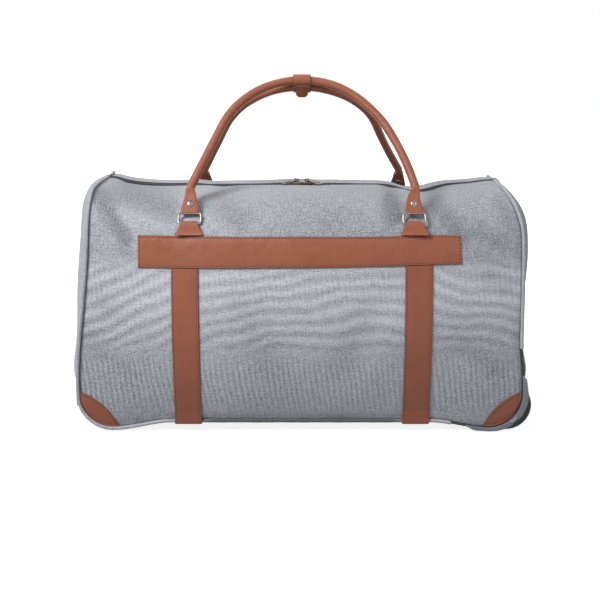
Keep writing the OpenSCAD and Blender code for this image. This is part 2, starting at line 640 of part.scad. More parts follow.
// Feet under the end without wheels
foot_x = seam_half - 67;
foot_y = seam_depth - 35;
foot_r = 12;
foot_q = 2 + (1 - (foot_x + foot_r) / (corner_u * seam_half)) / 2;
foot_seat = 0.7;
foot_top = strip_point(foot_q, (foot_y - foot_r) / housing_in).z + foot_seat;
module base_feet() color(black) both_sides() translate([-foot_x, foot_y, 0]) rotate_extrude()
    polygon([[0, 0], [foot_r - 3, 0], [foot_r - 1, foot_top * 0.5], [foot_r, foot_top], [0, foot_top]]);

// Base board and pull handle: the tubes lie on the board and come out low at the end without wheels
board_z = bottom_z + 3;
tube_z = board_z + board_t + outer_tube_r + 0.5;
bezel_w = 144;
bezel_h = 36;
bezel_z = tube_z - bezel_h / 2 + 2;
bezel_wall = 3;
bezel_x = seam_half + 14;
bezel_deep = 46;
tube_x0 = -bezel_x + bezel_deep;
grip_w = bezel_w - 2 * bezel_wall - 3;
grip_bar = 15;
grip_deep = bezel_deep - bezel_wall - 3;
grip_x = -bezel_x + 2;
grip_arm = (grip_w / 2 - tube_y) * 2;
button_w = 34;
button_h = 9;
button_travel = 3;
inner_bore = outer_tube_r - tube_t;
inner_tube_r = inner_bore - tube_play;

board_x = seam_half - 67;
board_half = seam_depth - 13;
board_margin = 10;
module base_board() color([0.5, 0.42, 0.32]) translate([-board_x, -board_half, board_z])
    cube([board_x + room_x - board_margin, 2 * board_half, board_t]);

module round_box(x0, x1, w, h, r) translate([x0, 0, 0]) rotate([90, 0, 90]) linear_extrude(x1 - x0) {
    square([w - 2 * r, h], center = true);
    square([w, h - 2 * r], center = true);
    for (a = [-1, 1]) for (b = [-1, 1]) translate([a * (w / 2 - r), b * (h / 2 - r)]) circle(r);
}
module handle_bezel() color(black) translate([0, 0, bezel_z + bezel_h / 2]) difference() {
    round_box(-bezel_x, tube_x0, bezel_w, bezel_h, 7);
    round_box(-bezel_x - 1, tube_x0 - bezel_wall, bezel_w - 2 * bezel_wall, bezel_h - 2 * bezel_wall, 5);
    for (s = [-1, 1]) translate([0, s * tube_y, tube_z - bezel_z - bezel_h / 2]) along_x(outer_tube_r, 4 * seam_half);
}
module on_tubes(x0, l) for (s = [-1, 1]) translate([x0, s * tube_y, tube_z]) rotate([0, 90, 0]) {
    linear_extrude(l) children();
}
module outer_tubes() color(metal) on_tubes(tube_x0 - bezel_wall, outer_tube_l) difference() {
    circle(outer_tube_r);
    circle(inner_bore);
}
collar_l = 12;
glide_l = 10;
module tube_collars() color(black) on_tubes(tube_x0 - bezel_wall + 1, collar_l) difference() {
    circle(inner_bore);
    circle(inner_tube_r + fit_gap);
}
bracket_l = 32;
bracket_h = 24;
bracket_side = 18;
bracket_wall = 6;
module tube_bracket() color(black) difference() {
    translate([tube_x0 + outer_tube_l - bracket_l + 2, -tube_y - bracket_side, board_z + board_t])
        cube([bracket_l, 2 * (tube_y + bracket_side), bracket_h]);
    for (s = [-1, 1]) translate([tube_x0 - bezel_wall, s * tube_y, tube_z]) rotate([0, 90, 0])
        cylinder(r = outer_tube_r, h = outer_tube_l);
    translate([tube_x0 + outer_tube_l - bracket_l + 1, -tube_y + bracket_side - 4, board_z + board_t + bracket_wall])
        cube([bracket_l + 2, 2 * (tube_y - bracket_side + 4), bracket_h]);
}
inner_x0 = grip_x + grip_deep - 6;
module inner_tubes() color(metal) on_tubes(inner_x0, inner_tube_l) difference() {
    circle(inner_tube_r);
    circle(inner_tube_r - tube_t);
}
module tube_glides() color(black) on_tubes(inner_x0 + inner_tube_l, glide_l) circle(inner_bore - fit_gap);

// The grip is an open loop: a bar, two arms and the gap for the fingers
module grip() color(black) difference() {
    translate([0, 0, tube_z - grip_h / 2]) linear_extrude(grip_h) difference() {
        union() {
            translate([grip_x, -grip_w / 2 + 6]) square([grip_deep, grip_w - 12]);
            translate([grip_x + 6, -grip_w / 2]) square([grip_deep - 6, grip_w]);
            for (s = [-1, 1]) translate([grip_x + 6, s * (grip_w / 2 - 6)]) circle(6);
        }
        translate([grip_x + grip_bar, -grip_w / 2 + grip_arm]) square([grip_deep, grip_w - 2 * grip_arm]);
    }
    for (s = [-1, 1]) translate([inner_x0, s * tube_y, tube_z]) rotate([0, 90, 0])
        cylinder(r = inner_tube_r, h = 40);
    translate([grip_x - 1, -button_w / 2 - 0.3, tube_z - button_h / 2 - 0.3])
        cube([button_travel + 6.5, button_w + 0.6, button_h + 0.6]);
}
module release_button() color(grey) translate([grip_x - 1.5, -button_w / 2, tube_z - button_h / 2])
    cube([6.5, button_w, button_h]);

// Zip: two tapes under the panels' top edges, the chain between them, and two sliders that meet in the middle
zip_end = 0.965;
tape_in = chain_half - 0.6;
tape_out = zip_half + 6;
tape_t = 0.8;
zip_u = steps(-zip_end, zip_end, 40);
function zip_row(y, drop) = [for (u = zip_u) let (p = front_point(u, 1)) [p.x, y, p.z - drop]];
tape_drop = panel_t + 3 * lay_gap;
module zip_tape() slab([zip_row(-tape_out, tape_drop), zip_row(-tape_in, tape_drop)],
    [zip_row(-tape_out, tape_drop + tape_t), zip_row(-tape_in, tape_drop + tape_t)]);
module zip_tape_front() color(fabric) zip_tape();
module zip_tape_back() color(fabric) mirror([0, 1, 0]) zip_tape();
chain_top = 0.7;
module zip_chain() color(grey) slab([zip_row(-chain_half, chain_top), zip_row(chain_half, chain_top)],
    [zip_row(-chain_half, tape_drop - 0.2), zip_row(chain_half, tape_drop - 0.2)]);

slider_w = 10;
slider_h = 4;
slider_z = crest_h - chain_top + 0.4;
slider_x = slider_l / 2 + 1;
pull_w = 9;
pull_t = 1.6;
pull_droop = 12;
pull_pin_r = 1;
pull_turn = 30;
pull_z = slider_z + slider_h + 2.4;
module slider(side) {
    translate([side * slider_x, 0, slider_z]) difference() {
        translate([-slider_l / 2, -slider_w / 2, 0]) cube([slider_l, slider_w, slider_h]);
        for (s = [-1, 1]) translate([-side * slider_l, s * (slider_w / 2 + 1), -1]) rotate([0, 0, side * s * 12])
            cube([2 * slider_l, 4, 3 * slider_h], center = true);
    }
    translate([side * slider_x, 0, pull_z]) rotate([0, 0, -side * pull_turn]) for (s = [-1, 1])
        translate([0, s * 3.2, 0]) rotate([90, 0, 0]) difference() {
            union() {
                cylinder(r = 2.2, h = 1.2, center = true);
                translate([-2.2, -2.6, -0.6]) cube([4.4, 2.6, 1.2]);
            }
            cylinder(r = pull_pin_r, h = 4, center = true);
        }
    translate([side * slider_x, 0, pull_z]) rotate([0, 0, -side * pull_turn]) rotate([90, 0, 0])
        cylinder(r = pull_pin_r, h = 7.6, center = true);
}
module zip_slider_left() color(metal) slider(-1);
module zip_slider_right() color(metal) slider(1);
module pull(side) translate([side * slider_x, 0, pull_z]) rotate([0, 0, -side * pull_turn])
    rotate([0, side * pull_droop, 0]) difference() {
        union() {
            rotate([90, 0, 0]) cylinder(r = pull_pin_r + 0.9, h = 4.4, center = true);
            translate([side * pull_l / 2, 0, 0]) cube([pull_l, 4.4, pull_t], center = true);
            translate([side * (pull_l / 2 + 4), 0, 0]) cube([pull_l - 8, pull_w, pull_t], center = true);
        }
        rotate([90, 0, 0]) cylinder(r = pull_pin_r + fit_gap, h = 20, center = true);
        translate([side * (pull_l / 2 + 4), 0, 0]) cube([pull_l - 12, pull_w - 4, 4 * pull_t], center = true);
    }
module zip_pull_left() color(metal) pull(-1);
module zip_pull_right() color(metal) pull(1);

// The ends bulge unequally, so the whole bag moves over until it reaches equally far to both sides
left_reach = max([for (q = [0.5:0.05:2]) -strip_point(q, 0).x]);
right_reach = max([for (q = [3:0.05:4.5]) strip_point(q, 0).x]);
centre_x = (left_reach - right_reach) / 2;
module centred() translate([centre_x, 0, 0]) children();

centred() front_panel();
centred() back_panel();
centred() end_panel_left();
centred() end_panel_right();
centred() base_panel();
centred() base_board();
centred() piping_front();
centred() piping_back();
centred() zip_tape_front();
centred() zip_tape_back();
centred() zip_chain();
centred() front_band();
centred() back_band();
centred() strap_left();
centred() strap_right();
centred() patch_front_left();
centred() patch_front_right();
centred() patch_back_left();
centred() patch_back_right();
centred() chapes_front();
centred() chapes_back();
centred() rings_front();
centred() rings_back();
centred() handle_front();
centred() handle_back();
centred() handle_rivets_front();
centred() handle_rivets_back();
centred() keeper_front();
centred() keeper_back();
centred() wheel_housing_front();
centred() wheel_housing_back();
centred() corner_guard_front();
centred() corner_guard_back();
centred() axle_front();
centred() axle_back();
centred() hub_front();
centred() hub_back();
centred() tyre_front();
centred() tyre_back();
centred() base_feet();
centred() handle_bezel();
centred() outer_tubes();
centred() tube_bracket();
centred() tube_collars();
centred() inner_tubes();
centred() tube_glides();
centred() grip();
centred() release_button();
centred() zip_slider_left();
centred() zip_slider_right();
centred() zip_pull_left();
centred() zip_pull_right();
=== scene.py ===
# Wheeled travel bag: silver-grey woven cloth, tan imitation leather and nickel fittings, in metres
import json
import math
import bmesh
import bpy
import numpy as np
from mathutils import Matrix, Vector


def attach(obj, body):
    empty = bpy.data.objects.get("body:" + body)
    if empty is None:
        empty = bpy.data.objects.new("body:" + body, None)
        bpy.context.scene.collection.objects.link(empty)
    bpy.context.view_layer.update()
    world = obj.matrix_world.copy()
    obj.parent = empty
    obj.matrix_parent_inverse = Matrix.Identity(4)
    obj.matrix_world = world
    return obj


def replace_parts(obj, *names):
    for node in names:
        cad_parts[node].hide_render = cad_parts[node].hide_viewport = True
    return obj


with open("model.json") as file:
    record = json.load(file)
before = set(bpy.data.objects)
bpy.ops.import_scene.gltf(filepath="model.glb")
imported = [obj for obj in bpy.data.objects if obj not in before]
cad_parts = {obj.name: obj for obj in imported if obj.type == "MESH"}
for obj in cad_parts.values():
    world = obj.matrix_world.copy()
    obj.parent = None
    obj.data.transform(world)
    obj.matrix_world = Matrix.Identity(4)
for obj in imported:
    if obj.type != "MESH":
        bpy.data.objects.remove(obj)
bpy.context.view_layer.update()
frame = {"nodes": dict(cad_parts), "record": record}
scene = bpy.context.scene
MM = 0.001
# The ends bulge unequally, so in the frame the whole bag stands this far over to +X
CENTRE_X = 4.39795 * MM

# Sizes of the bag, as the frame has them
SEAM_HALF = 282 * MM
BULGE_LEFT, BULGE_RIGHT = 27.5 * MM, 22 * MM
SEAM_DEPTH = 115 * MM
BELLY = 25 * MM
CREST_H = 302 * MM
BELLY_Z = 150 * MM
RISE_LEFT, RISE_RIGHT = 16 * MM, 8.5 * MM
LEAN_LEFT, LEAN_RIGHT, LEAN_FROM = 15.5 * MM, 4.5 * MM, 60 * MM
ROUND_LEFT, ROUND_RIGHT = 14 * MM, 18 * MM
DIP, DIP_X, DIP_W = 9 * MM, 157 * MM, 30 * MM
BOTTOM_Z = 17 * MM
DROOP, DROOP_X, DROOP_LEN = 10 * MM, 165 * MM, 75 * MM
CORNER_R = 42 * MM
TUCK = 3 * MM
PANEL_T = 2.4 * MM
LEATHER_T = 1.6 * MM
PIPING_R = 2.2 * MM
LAY_GAP = 0.4 * MM
ROUND_N, RISE_N, LOW_SHARE = 3.5, 8, 0.4
ZIP_HALF = 8 * MM
BULGE_HALF, BULGE_N, BASE_BULGE = 165 * MM, 7, 4 * MM
HOLLOW, HOLLOW_Z, HOLLOW_H, FOOT_Z, FOOT_H = 6.5 * MM, 120 * MM, 55 * MM, 20 * MM, 55 * MM
CORNER_U = (SEAM_HALF - CORNER_R) / SEAM_HALF
BAND_Z, BAND_W, BAND_HALF, BAND_OFF, BAND_TAPER = 216 * MM, 39 * MM, 199.5 * MM, 3 * MM, 5 * MM
STRAP_W, STRAP_X = 34 * MM, 144 * MM
PATCH_BOW, PATCH_OVER, PATCH_EDGE = 8 * MM, 0.015, 1 * MM


# Curves and measures that many pieces use
SIDES = (("front", False), ("back", True))


def smooth(t):
    c = np.clip(t, 0, 1)
    return c * c * (3 - 2 * c)


def bell(t):
    return np.exp(-(t**2))


def rolled(reach, width):
    return np.sqrt(1 - (1 - np.clip(reach / width, 0, 1)) ** 2)


def joined(*parts):
    return np.stack(np.broadcast_arrays(*parts), axis=-1)


def split(points):
    return (points[..., k] for k in range(points.shape[-1]))


def inside(t):
    return np.minimum(t - t.min(), t.max() - t)


def lattice(first, second):
    return np.meshgrid(first, second, indexing="ij")


def run_along(points):
    return np.concatenate([[0], np.cumsum(np.linalg.norm(np.diff(points, axis=0), axis=1))])


def unit(v):
    return v / np.maximum(np.linalg.norm(v, axis=-1, keepdims=True), 1e-12)


def mirrored(points, back=True):
    return points * np.array([1, -1, 1]) if back else points


def show(name, data):
    made = bpy.data.objects.new(name, data)
    scene.collection.objects.link(made)
    return made


# The bag's surface: u runs from the left end to the wheel end, v from the bottom seam up to the zip
TIP_DROP, TIP_FROM, TIP_LEN = 0.22, 0.93, 0.07


# How far an end is drawn in at a height: an even part, a lean and a rounding at the top, each with its length
def drawn_in(z, even, lean, lean_len, rise, rounding, round_len):
    top = np.clip((z - CREST_H - rise) / round_len + 1, 0, 1)
    return even + lean * smooth((z - LEAN_FROM) / lean_len) + rounding * top**2


def half_x(side, z):
    left = drawn_in(z, 0.0, LEAN_LEFT, 190 * MM, RISE_LEFT, ROUND_LEFT, 14 * MM)
    right = drawn_in(z, TUCK, LEAN_RIGHT, 60 * MM, RISE_RIGHT, ROUND_RIGHT, 63 * MM)
    return SEAM_HALF - np.where(np.asarray(side) < 0, left, right)


def crest(u):
    sag = DIP * bell((u * (SEAM_HALF - LEAN_LEFT) - DIP_X) / DIP_W)
    tip = TIP_DROP * smooth((np.abs(u) - TIP_FROM) / TIP_LEN)
    return CREST_H + np.where(u < 0, RISE_LEFT, RISE_RIGHT) * (np.abs(u) ** RISE_N - tip) - sag


def seam_low(u):
    x = np.abs(u) * SEAM_HALF
    c = np.maximum(0, x - (SEAM_HALF - CORNER_R))
    arc = CORNER_R - np.sqrt(np.maximum(0, CORNER_R**2 - c**2))
    return BOTTOM_Z - DROOP * smooth((x - DROOP_X) / DROOP_LEN) + arc


def fullness(u):
    return SEAM_DEPTH + BELLY * (1 - np.abs(u) ** 2.5)


def front_point(u, v, inset=0.0):
    u, v = np.broadcast_arrays(np.asarray(u, float), np.asarray(v, float))
    low, a, b = seam_low(u), fullness(u) - inset, crest(u) - BELLY_Z - inset
    z_low = low + (BELLY_Z - low) * v / LOW_SHARE
    fall = np.clip((BELLY_Z - z_low) / (BELLY_Z - low), 0, None)
    d_low = a - (fullness(u) - SEAM_DEPTH) * fall**2.2
    t = np.clip((v - LOW_SHARE) / (1 - LOW_SHARE), 0, 1.2) * np.arccos(ZIP_HALF / a)
    r = (np.abs(np.cos(t)) ** ROUND_N + np.abs(np.sin(t)) ** ROUND_N) ** (-1 / ROUND_N)
    under = v < LOW_SHARE
    z = np.where(under, z_low, BELLY_Z + b * r * np.sin(t))
    d = np.where(under, d_low, a * r * np.cos(t))
    return joined(u * half_x(u, z), -d, z)


# Steps between the points that give a direction; near the top corners it is taken a little further in
TINY = 0.002
STEP_IN, STEP_FROM, STEP_LEN = 0.04, 0.85, 0.15


def front_normal(u, v):
    reach = 1 - STEP_IN * smooth((v - STEP_FROM) / STEP_LEN)
    u = np.clip(u, -reach, reach)
    du = front_point(np.minimum(u + TINY, 1), v) - front_point(np.maximum(u - TINY, -1), v)
    dv = front_point(u, np.minimum(v + TINY, 1)) - front_point(u, np.maximum(v - TINY, 0))
    return unit(np.cross(du, dv))


def row_at(u, z):
    low, a = seam_low(u), fullness(u)
    k = np.clip((z - BELLY_Z) / (crest(u) - BELLY_Z), 0, 0.99999)
    high = LOW_SHARE + (1 - LOW_SHARE) * np.arctan2(k, (1 - k**ROUND_N) ** (1 / ROUND_N)) / np.arccos(ZIP_HALF / a)
    return np.where(z < BELLY_Z, LOW_SHARE * (z - low) / (BELLY_Z - low), high)


# The end strips and the base in one run: q 0 to 5 from the top of the left end round the base to the right end
def arc_u(turn):
    return (SEAM_HALF - CORNER_R + CORNER_R * np.sin(turn)) / SEAM_HALF


def strip_angle(q):
    return np.select([q < 1, q < 2, q < 3, q < 4], [-1.0 + 0 * q, q - 2, 0 * q, q - 3], 1.0) * np.pi / 2


def strip_u(q):
    flat = CORNER_U * (2 * (q - 2) - 1)
    turned = np.sign(q - 2.5) * arc_u(np.abs(strip_angle(q)))
    return np.select([q < 1, q < 2, q < 3, q < 4], [-1.0 + 0 * q, turned, flat, turned], 1.0)


def strip_v(q):
    return np.where(q < 1, 1 - q, np.where(q > 4, q - 4, 0.0))


def strip_swell(q):
    t = np.abs(strip_angle(q))
    z = front_point(strip_u(q), strip_v(q))[..., 2]
    bulge, rise = np.where(q < 2.5, BULGE_LEFT, BULGE_RIGHT), np.where(q < 2.5, RISE_LEFT, RISE_RIGHT)
    end = bulge * (1 - np.minimum(1, np.abs(z - CREST_H - rise + BULGE_HALF) / BULGE_HALF) ** BULGE_N)
    end = end - HOLLOW * bell((z - HOLLOW_Z) / HOLLOW_H)
    standing = np.sin(t) ** 1.2 * smooth((z - FOOT_Z) / FOOT_H)
    return BASE_BULGE + (np.maximum(end, BASE_BULGE) - BASE_BULGE) * standing


def strip_point(q, a, inset=0.0):
    q, a = np.broadcast_arrays(np.asarray(q, float), np.asarray(a, float))
    x, y, z = split(front_point(strip_u(q), strip_v(q), inset))
    s, t = strip_swell(q) * (1 - np.abs(a) ** 3), strip_angle(q)
    return joined(x + s * np.sin(t), -a * y, z - s * np.cos(t))


def strip_normal(q, a, inset=0.0):
    da = strip_point(q, np.minimum(a + TINY, 1), inset) - strip_point(q, np.maximum(a - TINY, -1), inset)
    dq = strip_point(np.minimum(q + TINY, 5), a, inset) - strip_point(np.maximum(q - TINY, 0), a, inset)
    return unit(np.cross(da, dq))


def seam_out(q):
    t = strip_angle(q)
    return joined(np.sin(t), 0 * t, -np.cos(t))


def from_top(q, length):
    return smooth(np.minimum(q, 5 - q) / length)


# Camera: in front of the bag and above it, tilted down by the photograph's small angle
CAMERA_AT, CAMERA_TILT = Vector((CENTRE_X, -1.35, 0.4974)), 8.0
CAMERA_LENS, CAMERA_SENSOR, CAMERA_SHIFT = 60.84, 36, (-0.0033, -0.2)
camera_data = bpy.data.cameras.new("camera")
camera_data.lens, camera_data.sensor_width = CAMERA_LENS, CAMERA_SENSOR
camera_data.shift_x, camera_data.shift_y = CAMERA_SHIFT
camera = show("camera", camera_data)
camera.location = CAMERA_AT
camera.rotation_euler = (math.radians(90 - CAMERA_TILT), 0, 0)
scene.camera = camera
scene.view_settings.view_transform = "Standard"


# A shader value: arithmetic on it adds Math nodes to its tree
def operator(operation, swapped=False):
    return lambda self, other: self.math(operation, *((other, self) if swapped else (self, other)))


class Value:
    def __init__(self, tree, socket=None):
        self.tree, self.socket = tree, socket

    def node(self, kind, inputs=None, out=0, **settings):
        made = self.tree.nodes.new(kind)
        for name, value in settings.items():
            setattr(made, name, value)
        for key, value in (inputs or {}).items():
            if isinstance(value, Value):
                self.tree.links.new(value.socket, made.inputs[key])
            else:
                made.inputs[key].default_value = value
        return Value(self.tree, made.outputs[out])

    def other(self, out):
        return Value(self.tree, self.socket.node.outputs[out])

    def math(self, operation, *values):
        return self.node("ShaderNodeMath", dict(enumerate(values)), operation=operation)

    __add__ = __radd__ = operator("ADD")
    __mul__ = __rmul__ = operator("MULTIPLY")
    __sub__, __rsub__ = operator("SUBTRACT"), operator("SUBTRACT", True)
    __pow__, at_least = operator("POWER"), operator("MAXIMUM")

    def sine(self):
        return self.math("SINE", self)

    def span(self, low, high):
        ends = {1: low, 2: high, 3: 0.0, 4: 1.0}
        return self.node("ShaderNodeMapRange", {0: self, **ends}, interpolation_type="SMOOTHSTEP")

    def shade(self, dark, light):
        return self.tint(rgb(*dark), rgb(*light))

    def tint(self, low, high):
        return self.node("ShaderNodeMix", {0: self, 6: low, 7: high}, out=2, data_type="RGBA")


def rgb(red, green, blue):
    levels = [c / 255 for c in (red, green, blue)]
    return tuple(c / 12.92 if c <= 0.04045 else ((c + 0.055) / 1.055) ** 2.4 for c in levels) + (1.0,)


def place(start):
    return start.node("ShaderNodeTexCoord", out=3)


def mark(start, name):
    return start.node("ShaderNodeAttribute", out=2, attribute_name=name)


def noise(where, scale, detail=2.0, stretch=(1, 1, 1)):
    mapped = where.node("ShaderNodeMapping", {0: where, 3: stretch})
    return where.node("ShaderNodeTexNoise", {"Vector": mapped, "Scale": scale, "Detail": detail})


def bump(height, depth, under=None):
    inputs = {"Strength": 1.0, "Distance": depth, "Height": height}
    if under is not None:
        inputs["Normal"] = under
    return height.node("ShaderNodeBump", inputs)


def material(name, build, *given, **fixed):
    made = bpy.data.materials.new(name)
    made.use_nodes = True
    shader = made.node_tree.nodes["Principled BSDF"]
    for socket, value in fixed.items():
        shader.inputs[socket.replace("_", " ")].default_value = value
    for socket, value in build(Value(made.node_tree), *given).items():
        made.node_tree.links.new(value.socket, shader.inputs[socket])
    return made


# Finishes; the cloth and the leather have painted shade and a painted highlight in their colour
BOWED_PITCH, UPRIGHT_PITCH = 0.0168, 0.0069
LEFT_SHADE, LOW_SHADE, WHEEL_SHADE = 0.13, 0.06, 0.07
GRAIN, SLUB, CLOUD, THREADS, LEVEL, SEAM_AND_FOLD_SHADE = 1.15, 0.42, 0.2, 0.12, 0.43, 0.12


def weave_moire_with_painted_light(start):
    """Faint moiré stripes of the fine weave, bowed ones across the middle and upright ones low down, with painted
    light: painted shade towards the left end, the bottom and the low wheel end, and a painted highlight across the
    middle height that near the top turns to painted shade towards the right.
    """
    where = place(start)
    x = start.node("ShaderNodeSeparateXYZ", {0: where})
    z = x.other(2)
    drift = noise(where, 9, 2)
    bowed = (z + (x - 0.076) ** 2 * 0.85 + drift * 0.045) * (2 * math.pi / BOWED_PITCH)
    upright = (x + z * 0.13 + drift * 0.012) * (2 * math.pi / UPRIGHT_PITCH)
    middle = z.span(0.1, 0.13) * (1 - z.span(0.2, 0.235))
    low = z.span(0.02, 0.045) * (1 - z.span(0.085, 0.115)) + z.span(0.16, 0.18) * (1 - z.span(0.2, 0.23)) * 0.5
    wheel_side = x.span(0.12, 0.26) * (1 - z.span(0.05, 0.2))
    # Painted shade: darker towards the left end, towards the bottom, and low down at the wheel end
    shade = (1 - x.span(-0.3, -0.14)) * LEFT_SHADE + (1 - z.span(0.02, 0.13)) * LOW_SHADE + wheel_side * WHEEL_SHADE
    # Painted highlight across the middle height; near the top it is taken back, and towards the right it turns to
    # painted shade
    painted_highlight_and_shade = z.span(0.11, 0.19) * 0.2 - z.span(0.2, 0.24) * (x.span(-0.22, 0.05) * 0.12 + 0.2)
    return bowed.sine() * middle * 0.13 + upright.sine() * low * 0.1 + painted_highlight_and_shade - shade


def woven_cloth(start, light, dark, pitch, painted_light_stripes=False):
    uv = start.node("ShaderNodeUVMap", uv_map="cloth")
    across = start.node("ShaderNodeSeparateXYZ", {0: uv})
    along = across.other(1)
    wobble = noise(uv, 90, 1) * (0.5 * pitch)
    weft = ((along + wobble) * (2 * math.pi / pitch)).sine()
    warp = ((across + wobble) * (2 * math.pi / pitch)).sine()
    threads = weft * warp
    grain = noise(uv, 520, 2)
    slub = noise(uv, 420, 2, (0.2, 1, 1)) + noise(uv, 420, 2, (1, 0.2, 1))
    cloud = noise(place(start), 7, 3)
    shade = (grain - 0.5) * GRAIN + (slub - 1) * SLUB + (cloud - 0.5) * CLOUD + threads * THREADS + LEVEL
    # The stripes come with painted shade and a painted highlight
    if painted_light_stripes:
        shade = shade + weave_moire_with_painted_light(start)
    # Painted shade: darker along the seams and in the folds (the 'seam' mark), and mixed towards a dark grey where the
    # 'deep' mark says: a thin line beside the piping, the fold valleys, and the piping under the bag
    plain = (shade - mark(start, "seam") * SEAM_AND_FOLD_SHADE).at_least(0.0).shade(dark, light)
    colour = mark(start, "deep").tint(plain, PAINTED_SHADE_TONE)
    weave = bump(threads * 0.5 + grain * 0.6, 0.00018)
    rough = noise(uv, 300, 1) * 0.16 + 0.68
    return {"Base Color": colour, "Normal": bump(slub, 0.00022, weave), "Roughness": rough}


def smooth_leather(start, light, dark, edge):
    where = place(start)
    cells = start.node("ShaderNodeTexVoronoi", {"Vector": where, "Scale": 950.0}, feature="SMOOTH_F1")
    pores = cells.span(0.15, 0.75)
    mottle = noise(where, 34, 4)
    streak = noise(where, 160, 3)
    cut = mark(start, "edge")
    base = (mottle * 0.75 + streak * 0.35 - 0.05).shade(dark, light)
    # Painted shade: the leather darkens towards the bottom; its cut edges take their own edge paint
    low = 1 - start.node("ShaderNodeSeparateXYZ", {0: where}, out=2).span(0.0, 0.19)
    edge_paint_and_low_shade = (cut * 0.75).at_least(low * 0.36)
    colour = edge_paint_and_low_shade.tint(base, edge)
    creases = noise(where, 85, 3).span(0.35, 0.7)
    rough = (mottle - 0.5) * 0.25 + pores * 0.08 + cut * 0.12 + 0.42
    grain = bump(pores, 0.00012)
    return {"Base Color": colour, "Roughness": rough, "Normal": bump(creases, 0.00035, grain)}


def moulded(start, light, dark, scale=700.0, depth=0.00008, rough=0.45):
    where = place(start)
    speck = noise(where, scale, 2)
    scuff = noise(where, 45, 4).span(0.45, 0.8)
    colour = (scuff * 0.7 + speck * 0.3).shade(dark, light)
    gloss = scuff * 0.18 + speck * 0.06 + (rough - 0.1)
    return {"Base Color": colour, "Roughness": gloss, "Normal": bump(speck, depth)}


def plated(start, light, dark, rough=0.22):
    where = place(start)
    haze = noise(where, 120, 3)
    scratch = noise(where, 900, 2, (1, 1, 0.06))
    return {"Base Color": haze.shade(dark, light), "Roughness": haze * 0.18 + scratch * 0.1 + (rough - 0.12),
            "Normal": bump(scratch, 0.00002)}


def thread(start, light, dark):
    twist = noise(place(start), 1800, 1)
    return {"Base Color": twist.shade(dark, light), "Normal": bump(twist, 0.0001)}


# The first colour is the dark grey of painted shade in seams, folds and under the bag; the second is the paint on the
# leather's cut edges
PAINTED_SHADE_TONE, TAN_EDGE = rgb(44, 46, 52), rgb(84, 44, 31)
SOFT = {"Sheen_Weight": 0.25, "Sheen_Roughness": 0.5, "Specular_IOR_Level": 0.2}
# The bag cloth's colour carries the weave's stripes together with painted shade and a painted highlight
cloth = material("bag cloth", woven_cloth, (234, 237, 243), (112, 116, 123), 0.0011, True, **SOFT)
gusset_cloth = material("gusset cloth", woven_cloth, (226, 229, 234), (108, 112, 119), 0.0011, **SOFT)
cord_cloth = material("piping cloth", woven_cloth, (222, 225, 229), (130, 134, 140), 0.0008, Sheen_Weight=0.2,
                      Specular_IOR_Level=0.25)
base_cloth = material("base cloth", woven_cloth, (56, 58, 62), (26, 27, 30), 0.0014, Specular_IOR_Level=0.3)
tape_cloth = material("zip tape cloth", woven_cloth, (150, 156, 162), (112, 118, 125), 0.0007, Specular_IOR_Level=0.25)
leather = material("tan leather", smooth_leather, (164, 97, 70), (138, 76, 54), TAN_EDGE, Specular_IOR_Level=0.35,
                   Coat_Weight=0.06, Coat_Roughness=0.35)
leather_thread = material("leather thread", thread, (88, 46, 33), (60, 30, 22), Roughness=0.7)
cloth_thread = material("cloth thread", thread, (160, 166, 172), (120, 126, 133), Roughness=0.75)
nickel = material("nickel", plated, (158, 156, 153), (96, 94, 92), Metallic=1.0)
warm_nickel = material("warm nickel", plated, (150, 142, 128), (88, 80, 68), 0.28, Metallic=1.0)
tube_metal = material("tube metal", plated, (196, 198, 200), (160, 162, 165), 0.3, Metallic=1.0)
axle_steel = material("axle steel", plated, (170, 170, 170), (110, 110, 112), 0.3, Metallic=1.0)
black_plastic = material("black plastic", moulded, (38, 39, 41), (18, 18, 20))
guard_plastic = material("guard plastic", moulded, (142, 146, 154), (106, 110, 118))
tab_plastic = material("guard tab plastic", moulded, (176, 179, 186), (140, 143, 150))
hub_plastic = material("hub plastic", moulded, (96, 98, 102), (62, 64, 68))
rubber = material("tyre rubber", moulded, (58, 58, 60), (30, 30, 32), 900.0, 0.00012, 0.7)
coil_plastic = material("zip coil", moulded, (74, 78, 84), (44, 47, 52), 900.0, 0.00004, 0.4)
board = material("board", moulded, (150, 130, 100), (118, 98, 72), 300.0, 0.0002, 0.8)


# Meshes from rows of points
def quads(rows, cols):
    i, j = lattice(np.arange(rows - 1), np.arange(cols - 1))
    a = (i * cols + j).ravel()
    return np.stack([a, a + cols, a + cols + 1, a + 1], axis=1)


def round_quads(rows, sides):
    i, j = lattice(np.arange(rows - 1), np.arange(sides))
    a, b = i * sides + j, i * sides + (j + 1) % sides
    return joined(a, b, b + sides, a + sides).reshape(-1, 4)


def rim(rows, cols):
    grid = np.arange(rows * cols).reshape(rows, cols)
    return np.concatenate([grid[:-1, 0], grid[-1, :-1], grid[:0:-1, -1], grid[0, :0:-1]])


def fit(name, mesh, body):
    piece = show(name, mesh)
    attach(piece, body)
    return piece


def add_piece(name, points, faces, finish, body, uv=None, marks=None, sharp=50):
    mesh = bpy.data.meshes.new(name)
    polygons = faces.tolist() if isinstance(faces, np.ndarray) else faces
    mesh.from_pydata((np.asarray(points).reshape(-1, 3) + [CENTRE_X, 0, 0]).tolist(), [], polygons)
    for mark_name, values in (marks or {}).items():
        mesh.attributes.new(mark_name, "FLOAT", "POINT").data.foreach_set("value", np.asarray(values, float).ravel())
    if uv is not None:
        corners = np.empty(len(mesh.loops), int)
        mesh.loops.foreach_get("vertex_index", corners)
        mesh.uv_layers.new(name="cloth").data.foreach_set("uv", np.asarray(uv).reshape(-1, 2)[corners].ravel())
    mesh.materials.append(finish)
    mesh.shade_smooth()
    mesh.set_sharp_from_angle(angle=math.radians(sharp))
    return fit(name, mesh, body)


